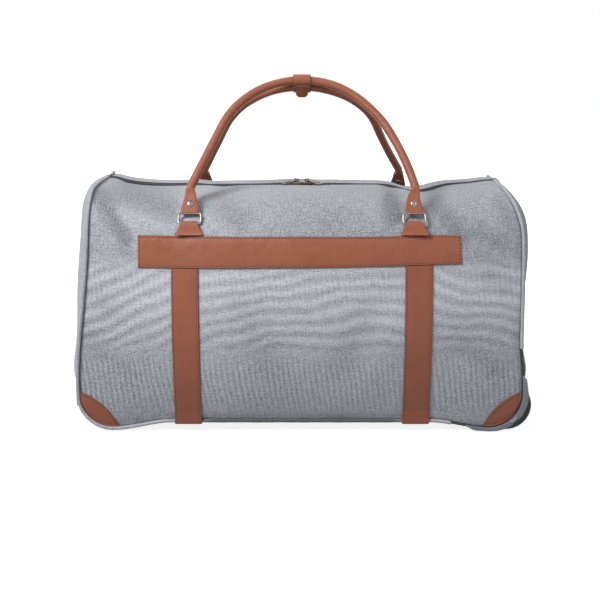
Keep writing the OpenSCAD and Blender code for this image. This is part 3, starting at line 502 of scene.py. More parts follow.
def add_slab(name, outer, inner, finish, body, uv, marks=None, keep=None, back=False):
    rows, cols = outer.shape[:2]
    n = rows * cols
    top = quads(rows, cols)
    if keep is None:
        a = rim(rows, cols)
        b = np.roll(a, -1)
    else:
        top = top[keep.ravel()]
        ends = {(i, j): True for i, j in np.concatenate([top[:, [k, (k + 1) % 4]] for k in range(4)])}
        a, b = np.array([(i, j) for i, j in ends if (j, i) not in ends]).T
    walls = np.stack([b, a, a + n, b + n], axis=1)
    faces = np.concatenate([top, top[:, ::-1] + n, walls])
    points = np.concatenate([outer.reshape(-1, 3), inner.reshape(-1, 3)])
    if back:
        points, faces = mirrored(points), faces[:, ::-1]
    used = np.unique(faces)
    renumber = np.zeros(len(points), int)
    renumber[used] = np.arange(len(used))
    both = np.concatenate([uv.reshape(-1, 2)] * 2)[used]
    doubled = {key: np.concatenate([np.ravel(value)] * 2)[used] for key, value in (marks or {}).items()}
    return add_piece(name, points[used], renumber[faces], finish, body, both, doubled)


def between(low, high, step, fine=(0.0, 0.0003, 0.0007, 0.0012, 0.0018, 0.0025, 0.0035)):
    start = low + np.array(fine)
    middle = np.arange(low + fine[-1] + step, high - fine[-1] - step / 2, step)
    return np.concatenate([start, middle, (high - np.array(fine))[::-1]])


# Leather laid on a surface: its edge is rolled down, and a line of stitches draws it in
FINE = (0.0, 0.02, 0.05, 0.09, 0.14, 0.2)
STITCH_IN = 2.5 * MM
ROLL_W, CUT_W, THIN_CUT_W, GROOVE_W, GROOVE = 0.0012, 0.0007, 0.0006, 0.0009, 0.0003


def sewn(reach, from_line, thick=LEATHER_T, groove=GROOVE):
    return thick * (0.4 + 0.6 * rolled(reach, ROLL_W)) - groove * bell(from_line / GROOVE_W)


def add_leather(name, outer, inner, uv, reach, back=False, body="bag", cut=CUT_W):
    return add_slab(name, outer, inner, leather, body, joined(*uv), {"edge": bell(reach / cut)}, back=back)


# One tree repeats a small rounded form along paths: stitches and the zip's teeth
REPEAT_INPUTS = {"Path": "Geometry", "Spacing": "Float", "Length": "Float", "Width": "Float", "Height": "Float",
                 "Finish": "Material"}


def repeat_tree():
    tree = bpy.data.node_groups.new("repeat along a path", "GeometryNodeTree")
    for label, kind in REPEAT_INPUTS.items():
        tree.interface.new_socket(label, in_out="INPUT", socket_type=f"NodeSocket{kind}")
    tree.interface.new_socket("Mesh", in_out="OUTPUT", socket_type="NodeSocketGeometry")
    start = Value(tree)
    given = start.node("NodeGroupInput")
    path, spacing, length, width, height, finish = (given.other(label) for label in REPEAT_INPUTS)
    line = start.node("GeometryNodeMeshToCurve", {"Mesh": path})
    spots = start.node("GeometryNodeCurveToPoints", {"Curve": line, "Length": spacing}, mode="LENGTH")
    ahead = spots.other("Tangent")
    facing = start.node("GeometryNodeInputNamedAttribute", {"Name": "facing"}, data_type="FLOAT_VECTOR")
    turn = start.node("FunctionNodeAxesToRotation", {0: ahead, 1: facing}, primary_axis="X", secondary_axis="Z")
    form = start.node("GeometryNodeMeshUVSphere", {"Segments": 8, "Rings": 6, "Radius": 0.5})
    size = start.node("ShaderNodeCombineXYZ", {0: length, 1: width, 2: height})
    formed = start.node("GeometryNodeTransform", {"Geometry": form, "Scale": size})
    laid = start.node("GeometryNodeInstanceOnPoints", {"Points": spots, "Instance": formed, "Rotation": turn})
    solid = start.node("GeometryNodeRealizeInstances", {"Geometry": laid})
    shaded = start.node("GeometryNodeSetShadeSmooth", {"Geometry": solid})
    finished = start.node("GeometryNodeSetMaterial", {"Geometry": shaded, "Material": finish})
    tree.links.new(finished.socket, tree.nodes.new("NodeGroupOutput").inputs[0])
    return tree


REPEAT = repeat_tree()


def baked(draft):
    made = bpy.data.meshes.new_from_object(draft.evaluated_get(bpy.context.evaluated_depsgraph_get()))
    bpy.data.objects.remove(draft)
    return made


def add_repeats(name, paths, spacing, size, finish, body):
    points, edges, facing = [], [], []
    for line, normals in paths:
        first = len(points)
        points += (np.asarray(line) + [CENTRE_X, 0, 0]).tolist()
        facing += np.asarray(normals).tolist()
        edges += [(first + k, first + k + 1) for k in range(len(line) - 1)]
    path_mesh = bpy.data.meshes.new(name)
    path_mesh.from_pydata(points, edges, [])
    path_mesh.attributes.new("facing", "FLOAT_VECTOR", "POINT").data.foreach_set("vector", np.ravel(facing))
    path = show(name + "_path", path_mesh)
    maker = path.modifiers.new("repeat", "NODES")
    maker.node_group = REPEAT
    values = {"Spacing": spacing, "Length": size[0], "Width": size[1], "Height": size[2], "Finish": finish}
    for item in REPEAT.interface.items_tree:
        if item.in_out == "INPUT" and item.name in values:
            maker[item.identifier] = values[item.name]
    return fit(name, baked(path), body)


# Folds of the cloth: each is a soft valley with a ridge beside it, given by its two ends, width and depth in mm
FRONT_FOLDS = [
    ((-266, 308), (-210, 242), 9, 7.5), ((-246, 306), (-150, 276), 15, 4.4), ((-258, 268), (-205, 222), 10, 2.4),
    ((-120, 300), (-60, 262), 18, 2.6), ((110, 302), (121, 266), 12, 5.0), ((168, 296), (206, 236), 14, 3.2),
    ((205, 262), (262, 238), 12, 1.6), ((222, 205), (272, 178), 13, 1.6), ((-268, 190), (-228, 140), 15, 1.4),
    ((-80, 190), (-30, 60), 24, 1.2), ((40, 60), (95, 190), 22, 1.2), ((190, 120), (262, 70), 16, 1.4),
    ((-200, 70), (-262, 110), 16, 1.2), ((60, 285), (20, 262), 12, 1.0), ((248, 300), (262, 262), 8, 1.4),
]
BACK_FOLDS = [
    ((-258, 302), (-206, 250), 11, 3.0), ((-140, 298), (-84, 264), 16, 2.0), ((128, 298), (160, 240), 15, 3.0),
    ((214, 270), (262, 240), 13, 1.8), ((-262, 180), (-214, 130), 15, 1.5), ((-60, 180), (0, 60), 24, 1.3),
    ((70, 70), (110, 190), 22, 1.2), ((200, 120), (262, 80), 16, 1.4), ((30, 290), (-30, 262), 14, 1.2),
]


def fold(x, z, start, end, width, depth):
    a, b = np.array(start) * MM, np.array(end) * MM
    run = b - a
    length = np.linalg.norm(run)
    along = ((x - a[0]) * run[0] + (z - a[1]) * run[1]) / length**2
    off = ((x - a[0]) * run[1] - (z - a[1]) * run[0]) / (length * width * MM)
    fade = bell(np.clip(np.abs(2 * along - 1) - 0.55, 0, None) / 0.35)
    return depth * MM * fade * (0.5 * bell(off - 1.6) - bell(off))


def folds(x, z, back=False):
    return sum(fold(x, z, *item) for item in (BACK_FOLDS if back else FRONT_FOLDS))


WAVE, RIPPLE, PUCKER, HEM_ROLL, HEM_SUNK = 0.001, 0.00028, 0.0003, 0.0004, 0.0007


def relief(x, z, u, back=False):
    rise = folds(x, z, back)
    turn = 1.7 if back else 0.0
    wave = np.sin(x / 0.041 + 1.4 * np.sin(z / 0.052 + turn)) * np.sin(z / 0.047 + 1.1 * np.sin(x / 0.063 + turn))
    ripple = np.sin(x / 0.0135 + 2.0 * np.sin(z / 0.031)) * np.cos(z / 0.019 + x / 0.05)
    to_seam = np.minimum((1 - np.abs(u)) * SEAM_HALF, z - seam_low(u))
    free = 1 - bell(to_seam / 0.007)
    pucker = np.sin((x + z) / 0.0023) * np.exp(-to_seam / 0.007)
    sunk = bell((to_seam - 0.0035) / 0.002)
    hem = bell(to_seam / 0.0016)
    return free * (rise + WAVE * wave + RIPPLE * ripple + PUCKER * pucker) + HEM_ROLL * hem - HEM_SUNK * sunk


def skin(u, v, lift, back=False):
    p = front_point(u, v)
    return p + front_normal(u, v) * (relief(p[..., 0], p[..., 2], u, back) + lift)[..., None]


def on_side(x, z, lift, back=False):
    u = x / half_x(x, z)
    return skin(u, row_at(u, z), lift, back)


ARC = np.linspace(0, np.pi / 2, 13)[1:]
PANEL_U = np.concatenate([-arc_u(ARC)[::-1], np.linspace(-CORNER_U, CORNER_U, 170), arc_u(ARC)])
PANEL_V = np.concatenate([np.linspace(0, LOW_SHARE, 49)[:-1], np.linspace(LOW_SHARE, 1, 100)])
SEAM_MARK, FOLD_MARK, SHADE_LINE_IN, SHADE_LINE_W, TOP_LEN = 0.0022, 0.004, 0.0004, 0.0013, 0.55


def add_panel(name, back):
    u, v = lattice(PANEL_U, PANEL_V)
    outer, inner = skin(u, v, 0.0, back), front_point(u, v) - front_normal(u, v) * PANEL_T
    seam = np.minimum(np.minimum((1 - np.abs(u)) * SEAM_HALF, outer[..., 2] - seam_low(u)), (1 - v) * TOP_LEN)
    uv = joined(u * SEAM_HALF, run_along(outer[len(PANEL_U) // 2]))
    # Painted shade in the fold valleys, and in a thin crease line just inside the seams beside the piping
    fold_shade = np.clip(-folds(outer[..., 0], outer[..., 2], back) / FOLD_MARK, 0, 1)
    deep = np.maximum(0.85 * bell((seam - SHADE_LINE_IN) / SHADE_LINE_W), 0.22 * fold_shade)
    marks = {"seam": np.exp(-seam / SEAM_MARK) + fold_shade, "deep": deep}
    piece = add_slab(name, outer, inner, cloth, "bag", uv, marks, back=back)
    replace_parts(piece, name)


for side, back in SIDES:
    add_panel(f"{side}_panel", back)

# Ends and base, with the openings for the pull handle and the wheels left out of them
END_INSET = PANEL_T + LAY_GAP
BEZEL_W, BEZEL_H, BEZEL_Z = 144 * MM, 36 * MM, 16.5 * MM
ROOM_X, ROOM_Z, ROOM_Y = 213 * MM, 84 * MM, 82.8 * MM
STRIP_HALF = SEAM_DEPTH - END_INSET


def end_relief(q, a):
    x, y, z = split(strip_point(q, a, END_INSET))
    side = np.where(q < 2.5, 0.0, 2.1)
    long_fold = np.sin(y / 0.021 + 1.6 * np.sin(z / 0.05 + side)) * np.sin(z / 0.06 + side)
    upper = bell((z - 0.262) / 0.028) * np.cos(y / 0.016 + side)
    standing = np.abs(np.sin(strip_angle(q)))
    return (1 - np.abs(a) ** 6) * (standing * (0.0016 * long_fold + 0.0011 * upper) + 0.0003 * np.sin(x / 0.02))


def add_strip(name, qs, finish, cut):
    cuts = [sign * half / STRIP_HALF for half in (ROOM_Y, BEZEL_W / 2) for sign in (-1, 1)]
    aa = np.unique(np.concatenate([np.linspace(-1, 1, 81), cuts]))
    a, q = lattice(aa, qs)
    inset = END_INSET * (0.1 + 0.9 * from_top(q, 0.45))
    base, out = strip_point(q, a, inset), strip_normal(q, a, inset)
    outer, inner = base + out * end_relief(q, a)[..., None], base - out * PANEL_T
    middle = (outer[:-1, :-1] + outer[1:, 1:]) / 2
    uv = joined(a * STRIP_HALF, run_along(outer[len(aa) // 2]))
    # Painted shade along both seams of the strip
    marks = {"seam": np.exp(-(1 - np.abs(a)) * STRIP_HALF / SEAM_MARK)}
    piece = add_slab(name, outer, inner, finish, "bag", uv, marks, keep=~cut(*split(middle)))
    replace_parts(piece, name)


def in_bezel(x, y, z):
    return (x < 0) & (np.abs(y) < BEZEL_W / 2) & (np.abs(z - BEZEL_Z - BEZEL_H / 2) < BEZEL_H / 2)


def in_wheel_room(x, y, z):
    return (x > ROOM_X) & (np.abs(y) > ROOM_Y) & (z < ROOM_Z)


LEFT_ROWS = np.concatenate([np.linspace(0, 1, 100)[:-1], np.linspace(1, 2, 34)])
RIGHT_ROWS = np.concatenate([np.linspace(3, 4, 34)[:-1], np.linspace(4, 5, 100)])
add_strip("end_panel_left", LEFT_ROWS, gusset_cloth, in_bezel)
add_strip("end_panel_right", RIGHT_ROWS, gusset_cloth, in_wheel_room)
add_strip("base_panel", np.linspace(2.002, 2.998, 120), base_cloth, in_wheel_room)


# A cord along points, each with a direction that faces away from its seam
PIPE_SIDES = 14


def add_cord(name, points, facing, size, marks):
    d = unit(np.gradient(points, axis=0))
    a = unit(np.cross(d, facing))
    b = np.cross(d, a)
    n, sides = len(points), PIPE_SIDES
    places = [points[0] - d[0] * size[0] * 0.35 * k for k in (1.0, 0.75)] + list(points) + [
        points[-1] + d[-1] * size[-1] * 0.35 * k for k in (0.75, 1.0)]
    scale = np.concatenate([size[0] * np.array([0.08, 0.7]), size, size[-1] * np.array([0.7, 0.08])])
    aa, bb = (np.pad(way, ((2, 2), (0, 0)), mode="edge") for way in (a, b))
    turn = np.linspace(0, 2 * np.pi, sides + 1)[:-1]
    ring = np.cos(turn)[None, :, None] * aa[:, None] + np.sin(turn)[None, :, None] * bb[:, None]
    grid = np.array(places)[:, None] + ring * scale[:, None, None]
    faces = round_quads(n + 4, sides).tolist()
    faces += [list(range(sides))[::-1], [(n + 3) * sides + k for k in range(sides)]]
    run = np.concatenate([[0, 0], run_along(points), [0, 0]])
    uv = joined(run[:, None], turn[None, :] * np.mean(size))
    return add_piece(name, grid, faces, cord_cloth, "bag", uv, marks)


# Piping round both seams; at the wheels the housing's rim takes its place
PIPE_OUT = 2.6 * MM
RIM_Q0, RIM_Q1 = 2.89792, 4.24158
UNDER_X, UNDER_LEN, UNDER_Z = 150 * MM, 40 * MM, 60 * MM


def pipe_point(q):
    u, v = strip_u(q), strip_v(q)
    q0, q1 = np.maximum(q - TINY, 0), np.minimum(q + TINY, 5)
    run = front_point(strip_u(q1), strip_v(q1)) - front_point(strip_u(q0), strip_v(q0))
    end_out = unit(joined(run[..., 2], 0 * q, -run[..., 0]))
    out = np.where(((q < 1) | (q > 4))[..., None], end_out, seam_out(q))
    hold = from_top(q, 0.35) * 1.5 - 0.5
    return front_point(u, v) + ((PIPE_OUT - 0.25 * MM) * hold)[..., None] * unit(out + front_normal(u, v))


for side, back in SIDES:
    for label, q_start, q_end, count in (("long", 0.002, RIM_Q0, 420), ("short", RIM_Q1, 4.998, 130)):
        q = np.linspace(q_start, q_end, count)
        face = front_normal(strip_u(q), strip_v(q))
        wobble = 0.0001 * np.sin(q * 61) + 0.0001 * np.sin(q * 143 + 1)
        line = pipe_point(q) + face * wobble[:, None]
        radius = PIPING_R * (0.85 + 0.15 * from_top(q, 0.3))
        # Painted shadow: along the bottom between the straps, where the bag's own shadow falls, the piping is darkened
        # towards the painted-shade grey
        under = smooth((UNDER_X - np.abs(line[:, 0])) / UNDER_LEN) * (line[:, 2] < UNDER_Z)
        marks = {"deep": np.repeat(np.pad(under, 2, mode="edge"), PIPE_SIDES) * 0.8}
        piece = add_cord(f"piping_{side}_{label}", mirrored(line, back), mirrored(face, back), radius, marks)
        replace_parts(piece, f"piping_{side}")


# Leather band, straps, corner patches and chapes
def band_low(x):
    return BAND_Z + BAND_TAPER * (x + BAND_OFF + BAND_HALF) / (2 * BAND_HALF)


def on_band(s, f, lift, back):
    low = band_low(s)
    return on_side(s, low + f / BAND_W * (BAND_Z + BAND_W - low), lift, back)


def strap_grid(x_middle, lift):
    xs = between(x_middle - STRAP_W / 2, x_middle + STRAP_W / 2, 2.4 * MM)
    low = seam_low(xs / SEAM_HALF)
    rise = np.linspace(0, 1, 96)[:, None]
    x_rows = np.broadcast_to(xs, (len(rise), len(xs)))
    z_rows = (low + 12 * MM) + (band_low(xs) - LAY_GAP - low - 12 * MM) * rise
    front = on_side(x_rows, z_rows, lift)
    back = on_side(x_rows, z_rows, lift, True)
    turn = np.radians(np.linspace(270, 180, 10))[:, None]
    centre_y, centre_z = -SEAM_DEPTH - PIPE_OUT * math.sqrt(0.5), low - PIPE_OUT * math.sqrt(0.5)
    bend = PIPING_R + lift
    arc = joined(xs, centre_y + bend * np.cos(turn), centre_z + bend * np.sin(turn))
    across = np.linspace(0, 1, 40)[1:-1, None]
    half = joined(xs, -centre_y + 2 * centre_y * across, (centre_z - bend)[None, :])
    return xs, np.concatenate([mirrored(back[::-1]), mirrored(arc[::-1]), half, arc, front])


def add_strap(name, x_middle):
    xs, base = strap_grid(x_middle, LAY_GAP)
    top = strap_grid(x_middle, LAY_GAP + LEATHER_T)[1]
    base, top = base.transpose(1, 0, 2), top.transpose(1, 0, 2)
    s, t = lattice(xs, run_along(base[len(xs) // 2]))
    reach = inside(s)
    outer = base + (top - base) * sewn(reach, reach - STITCH_IN, 1.0, 0.19)[..., None]
    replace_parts(add_leather(name, outer, base, (s, t), reach), name)
    rows = [int(np.argmin(np.abs(xs - at))) for at in (xs[0] + STITCH_IN, xs[-1] - STITCH_IN)]
    return [(outer[k], unit(top[k] - base[k])) for k in rows]


LEATHER_STITCH, STITCH_STEP = (2.9 * MM, 0.95 * MM, 0.7 * MM), 4.2 * MM


def sew(name, lines):
    add_repeats(name, lines, STITCH_STEP, LEATHER_STITCH, leather_thread, "bag")


sew("strap_stitches", add_strap("strap_left", -STRAP_X) + add_strap("strap_right", STRAP_X))

for side, back in SIDES:
    name = f"{side}_band"
    xs, fs = between(-BAND_OFF - BAND_HALF, BAND_HALF - BAND_OFF, 2.4 * MM), between(0, BAND_W, 2.4 * MM)
    s, f = lattice(xs, fs)
    reach = np.minimum(inside(s), inside(f))
    outer, inner = (on_band(s, f, LAY_GAP + up, back) for up in (sewn(reach, reach - STITCH_IN), 0.0))
    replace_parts(add_leather(name, outer, inner, (s, f), reach, back), name)
    x_ends, f_ends = (xs[0] + STITCH_IN, xs[-1] - STITCH_IN), (STITCH_IN, BAND_W - STITCH_IN)
    corners = [(x_ends[0], f_ends[0]), (x_ends[1], f_ends[0]), (x_ends[1], f_ends[1]), (x_ends[0], f_ends[1])]
    lines = []
    for k in range(4):
        share = np.linspace(0, 1, 160)[:, None]
        s, f = (np.array(corners[k]) + share * np.subtract(corners[(k + 1) % 4], corners[k])).T
        base, top = (on_band(s, f, lift, back) for lift in (LAY_GAP, LAY_GAP + LEATHER_T - 0.2 * MM))
        lines.append((mirrored(top, back), mirrored(unit(top - base), back)))
    sew(name + "_stitches", lines)


def add_patch(name, side, back):
    q0 = 1 - PATCH_OVER if side < 0 else 3 - PATCH_OVER
    ss = between(0, 1, 0.02, (0.0, 0.004, 0.01, 0.018, 0.028, 0.04))
    s, w = lattice(ss, between(0, 1, 0.06, (0.0, 0.012, 0.03, 0.055, 0.09, 0.14)))
    q = q0 + s * (1 + 2 * PATCH_OVER)

    def seam_at(k):
        return front_point(strip_u(k), strip_v(k)) - PATCH_EDGE * seam_out(k)

    ends = seam_at(np.array([q0, q0 + 1 + 2 * PATCH_OVER]))
    chord = unit(ends[1] - ends[0])
    across = np.array([-chord[2], 0, chord[0]])

    def arched(k):
        return ends[0] + k[..., None] * (ends[1] - ends[0]) + (4 * k * (1 - k))[..., None] * PATCH_BOW * across

    high, low = arched(s), seam_at(q)
    tip = np.exp(-(np.minimum(s, 1 - s) / 0.02))[..., None] * 2 * MM * across
    p = low + w[..., None] * (high - low + tip)
    x, z = p[..., 0], p[..., 2]
    width = np.linalg.norm(high - low, axis=-1) + 0.002
    reach = np.minimum(inside(w) * width, inside(s) * 0.07)
    height = sewn(reach, (1 - w) * width - STITCH_IN)
    outer, inner = on_side(x, z, LAY_GAP + height, back), on_side(x, z, LAY_GAP, back)
    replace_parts(add_leather(name, outer, inner, (x, z), reach, back), name)
    f = np.linspace(0.06, 0.94, 60)
    line = arched(f) - across * STITCH_IN
    u = line[:, 0] / half_x(line[:, 0], line[:, 2])
    return (mirrored(on_side(line[:, 0], line[:, 2], LAY_GAP + LEATHER_T - 0.0002, back), back),
            mirrored(front_normal(u, row_at(u, line[:, 2])), back))


sew("patch_stitches", [add_patch(f"patch_{face}_{end}", side, back)
                       for face, back in SIDES for end, side in (("left", -1), ("right", 1))])

# Chapes: a folded strip of leather round the ring's lower bar, tucked in at the band's edge
TAB_X, BAR_Y, BAR_Z = 139 * MM, -119.202 * MM, 270.12 * MM
CHAPE_SLOPE = math.radians(34.4966)
RING_R, CHAPE_H = 1.5 * MM, 13 * MM
CHAPE_TOP_W, CHAPE_LOW_W = 20 * MM, 34 * MM
CHAPE_REACH, CHAPE_TUCK, CHAPE_ROLL = CHAPE_H + 2.6 * MM, 3.0 * MM, 0.0011
LOOP_OUT = RING_R + 0.1 * MM + LEATHER_T


def lean(points, centre, angle):
    c, s = math.cos(angle), math.sin(angle)
    x, y, z = split(points)
    return joined(x, c * y + s * z, -s * y + c * z) + np.array(centre)


def chape_surfaces(x_middle):
    down = np.linspace(0, 1, 22)
    arc = np.radians(np.linspace(0, 180, 15))[1:-1]
    profile = [(-LOOP_OUT + CHAPE_TUCK * float(smooth(f)), -CHAPE_REACH * f) for f in down[::-1]]
    profile += [(-LOOP_OUT * math.cos(a), LOOP_OUT * math.sin(a)) for a in arc]
    rows = np.array(profile + [(LOOP_OUT, -CHAPE_H * f) for f in down])
    drop = np.clip(-rows[:, 1] / CHAPE_H, 0, 1)
    half = (CHAPE_TOP_W + (CHAPE_LOW_W - CHAPE_TOP_W) * drop) / 2
    w, h = lattice(between(-1, 1, 0.09, FINE + (0.28,)), half)
    x, y, z = np.broadcast_arrays(w * h, rows[:, 0], rows[:, 1])
    out = unit(joined(0 * x, y, np.where(z > 0, z, 0)))
    squeeze = np.where(y > 0, 0.55, 0.0) * np.clip(-z / CHAPE_H, 0, 1) * LOOP_OUT
    middle = joined(x, y - squeeze, z)
    reach = (1 - np.abs(w)) * h
    cut = LEATHER_T * 0.6 * (1 - rolled(reach, CHAPE_ROLL))
    outer, inner = (lean(middle - out * deep, (x_middle, BAR_Y, BAR_Z), CHAPE_SLOPE)
                    for deep in (cut[..., None], LEATHER_T))
    return outer, inner, (x, z), reach


for side, back in SIDES:
    for label, x_middle in (("left", -TAB_X), ("right", TAB_X)):
        piece = add_leather(f"chapes_{side}_{label}", *chape_surfaces(x_middle), back, cut=THIN_CUT_W)
        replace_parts(piece, f"chapes_{side}")

# Handles: one loft from foot to foot, flat at the tabs and round along the grip, with a raised seam inside
UPPER_BAR = (-111.273 * MM, 281.658 * MM)
ARCH_R, ARCH_H, LEG_ANGLE, LEG_BOW = 113 * MM, 75 * MM, math.radians(23), (7 * MM, -3 * MM)
HANDLE_R, TAB_W, TAB_T = 5.5 * MM, 22 * MM, 4.4 * MM
LEANS = (math.radians(31.5156), math.radians(36.5556))
PLATE_H, FLARE_H, PLATE_TOP_W = 22 * MM, 36 * MM, 15 * MM
LEG_TOP = (ARCH_R * math.cos(LEG_ANGLE), ARCH_H + ARCH_R * math.sin(LEG_ANGLE))
LEG_FOOT_X = LEG_TOP[0] + (LEG_TOP[1] - FLARE_H) * math.tan(LEG_ANGLE)


HANDLE_SIDES, SEAM_TURN, SQUARE, ROUND = 36, 3.85, 8, 2


def blend(start, end, share):
    return np.asarray(start) + np.subtract(end, start) * share


# Each section: x and height, turn, half width, half thickness, and how square it is
def handle_sections(which):
    low, foot = ((TAB_X, height, 0, TAB_W / 2, TAB_T / 2, SQUARE) for height in (0, 6 * MM))
    plate = (TAB_X, PLATE_H, 0, PLATE_TOP_W / 2, TAB_T / 2, SQUARE)
    leg, top = ((x, z, LEG_ANGLE, HANDLE_R, HANDLE_R, ROUND) for x, z in ((LEG_FOOT_X, FLARE_H), LEG_TOP))
    rows = [blend(low, foot, f) for f in np.linspace(0, 1, 5)] + [blend(foot, plate, f) for f in np.linspace(0, 1, 15)]
    rows += [blend(plate, leg, np.where(np.arange(6) == 1, f, smooth(f))) for f in np.linspace(0, 1, 16)[1:]]
    rows += [blend(leg, top, f) for f in np.linspace(0, 1, 32)[1:]]
    rows += [(ARCH_R * math.cos(t), ARCH_H + ARCH_R * math.sin(t), t, HANDLE_R, HANDLE_R, ROUND)
             for t in np.linspace(LEG_ANGLE, math.pi / 2, 50)[1:]]
    right = np.array(rows)
    left = right[:-1][::-1] * [-1, 1, -1, 1, 1, 1] + [0, 0, math.pi, 0, 0, 0]
    every = np.concatenate([right, left])
    bow = LEG_BOW[which] * np.sin(np.pi * np.clip((every[:, 1] - 20 * MM) / (130 * MM), 0, 1))
    every[:, 0] += np.where(every[:, 0] > 0, bow, 0)
    return every


def handle_at(points, which, back):
    return mirrored(lean(points, (0, *UPPER_BAR), LEANS[which]), back)


def add_handle(name, which, back):
    rows = handle_sections(which)
    x, z, turn, half, deep, power = split(rows[:, None])
    sides = HANDLE_SIDES
    t = np.linspace(0, 2 * np.pi, sides + 1)[None, :-1]
    square = lambda c: np.sign(c) * np.abs(c) ** (2 / power)
    run = run_along(rows[:, :2])[:, None]
    roundness = np.clip((SQUARE - power) / (SQUARE - ROUND), 0, 1)
    seam = roundness * bell(np.mod(t - SEAM_TURN, 2 * np.pi) / 0.16)
    swell = 0.00018 * np.sin(run / 0.011) * np.sin(run / 0.029 + 1) + 0.0005 * seam
    across, depth = (half + swell) * square(np.cos(t)), (deep + swell) * square(np.sin(t))
    points = joined(x + across * np.cos(turn), depth, z + across * np.sin(turn))
    n = len(rows)
    faces = round_quads(n, sides)[:, ::-1].tolist()
    faces += [list(range(sides)), [(n - 1) * sides + k for k in range(sides)][::-1]]
    flat_edge = (1 - roundness) * bell(np.minimum(np.abs(t % np.pi), np.pi - t % np.pi) / 0.35)
    marks = {"edge": np.maximum(flat_edge * 0.8, seam * 0.7)}
    if back:
        faces = [face[::-1] for face in faces]
    placed, uv = handle_at(points, which, back), joined(run, t * HANDLE_R)
    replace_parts(add_piece(name, placed, faces, leather, name, uv, marks), name)
    lines = []
    for side in (1, -1):
        for edge in (1, -1):
            f = np.linspace(3 * MM, 20 * MM, 12)
            wide = np.interp(f, [0, 6 * MM, PLATE_H], [TAB_W / 2, TAB_W / 2, PLATE_TOP_W / 2]) - 2.2 * MM
            line = joined(side * TAB_X + edge * wide, 0 * f - TAB_T / 2, f)
            start, tip = handle_at(line, which, back), handle_at(line + [0.0, -1.0, 0.0], which, back)
            lines.append((start, tip - start))
    add_repeats(name + "_stitches", lines, 3.6 * MM, (2.4 * MM, 0.7 * MM, 0.55 * MM), leather_thread, name)


for which, (side, back) in enumerate(SIDES):
    add_handle(f"handle_{side}", which, back)

# Keeper: it wraps both handles at their tops and parts between them; its front half has the closing flap
TOP_FRONT, TOP_BACK = np.array([-13.0, 441.928]) * MM, np.array([-0.7, 432.675]) * MM
KEEPER_OUT = HANDLE_R + 0.7 * MM + LEATHER_T
KEEPER_W, FLAP_W = 23 * MM, 16 * MM
KEEPER_SPAN = float(np.linalg.norm(TOP_BACK - TOP_FRONT))
KEEPER_TURN = math.atan2(TOP_BACK[1] - TOP_FRONT[1], TOP_BACK[0] - TOP_FRONT[0])


def keeper_at(points, centre, turn):
    c, s = math.cos(turn), math.sin(turn)
    x, a, b = split(points)
    return joined(x, centre[0] + c * a - s * b, centre[1] + s * a + c * b)


def add_wrap(name, centre, turn, path, width, body, tongue):
    step = np.gradient(path, axis=0)
    out = unit(joined(step[:, 1], -step[:, 0]))
    run = run_along(path)
    w, r = lattice(between(-1, 1, 0.1, FINE), run)
    end = np.clip((r - run[-1] + tongue) / tongue, 0, 1) if tongue else 0 * r
    x = w * width / 2 * np.sqrt(np.maximum(1 - end**2, 0.0025))
    reach = np.minimum(width / 2 * (1 - np.abs(w)), inside(r) * 1.5)
    cut = LEATHER_T * 0.45 * (1 - rolled(reach, 0.001)) + 0.0002 * bell((reach - 0.0022) / 0.0008)
    flat = np.broadcast_to(path, w.shape + (2,))
    outer, inner = (keeper_at(np.concatenate([x[..., None], flat - out * deep], axis=-1), centre, turn)
                    for deep in (cut[..., None], LEATHER_T))
    return add_leather(name, outer, inner, (x, r), reach, body=body, cut=THIN_CUT_W)


def keeper_path(reach):
    bend = np.radians(np.linspace(90, 270, 25))
    side = np.linspace(0, reach, 9)[1:]
    top = joined(side[::-1], 0 * side + KEEPER_OUT)
    low = joined(side, 0 * side - KEEPER_OUT)
    return np.concatenate([top, KEEPER_OUT * joined(np.cos(bend), np.sin(bend)), low])


KEEPER_REACH = (KEEPER_SPAN - 0.6 * MM) / 2
FLAP_LEVEL, FLAP_END = -KEEPER_OUT - LAY_GAP - LEATHER_T, 7 * MM
FLAP_BEND, BEND_FROM, BEND_LEN = 3.6 * MM, 4 * MM, 17 * MM
flap_x = np.linspace(-1 * MM, KEEPER_SPAN + 6 * MM, 30)
flap_path = joined(flap_x, FLAP_LEVEL - FLAP_BEND * smooth((flap_x - BEND_FROM) / BEND_LEN))
for label, centre, turn, path, width, body, tongue in (
        ("keeper_front", TOP_FRONT, KEEPER_TURN, keeper_path(KEEPER_REACH), KEEPER_W, "handle_front", 0.0),
        ("keeper_flap", TOP_FRONT, KEEPER_TURN, flap_path, FLAP_W, "handle_front", FLAP_END),
        ("keeper_back", TOP_BACK, KEEPER_TURN + math.pi, keeper_path(KEEPER_REACH), KEEPER_W, "handle_back", 0.0)):
    piece = add_wrap(label, centre, turn, path, width, body, tongue)
    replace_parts(piece, label.replace("flap", "front"))

# Zip: two tapes under the hems and a coil of small teeth between them
CHAIN_TOP, CHAIN_HALF, TAPE_DROP, TAPE_T = 0.7 * MM, 3 * MM, 3.6 * MM, 0.8 * MM
ZIP_US, COIL_US = np.linspace(-1.0, 1.0, 140), np.linspace(-1.0, 1.0, 300)


def top_line(us, y, drop):
    x, _, z = split(front_point(us, 1.0))
    return joined(x, y, z - drop)


def add_ribbon(name, ys, outer_drop, inner_drop, finish, back=False):
    u, y = lattice(ZIP_US, ys)
    ripple = 0.00012 * np.sin(u * 190) * np.clip((-CHAIN_HALF - y) / (4 * MM), 0, 1)
    outer, inner = top_line(u, y, outer_drop + ripple), top_line(u, y, inner_drop)
    return add_slab(name, outer, inner, finish, "bag", joined(u * SEAM_HALF, y), back=back)


for side, back in SIDES:
    ys = np.linspace(-ZIP_HALF - 6 * MM, -CHAIN_HALF + 0.6 * MM, 9)
    piece = add_ribbon(f"zip_tape_{side}", ys, TAPE_DROP, TAPE_DROP + TAPE_T, tape_cloth, back)
    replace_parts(piece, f"zip_tape_{side}")

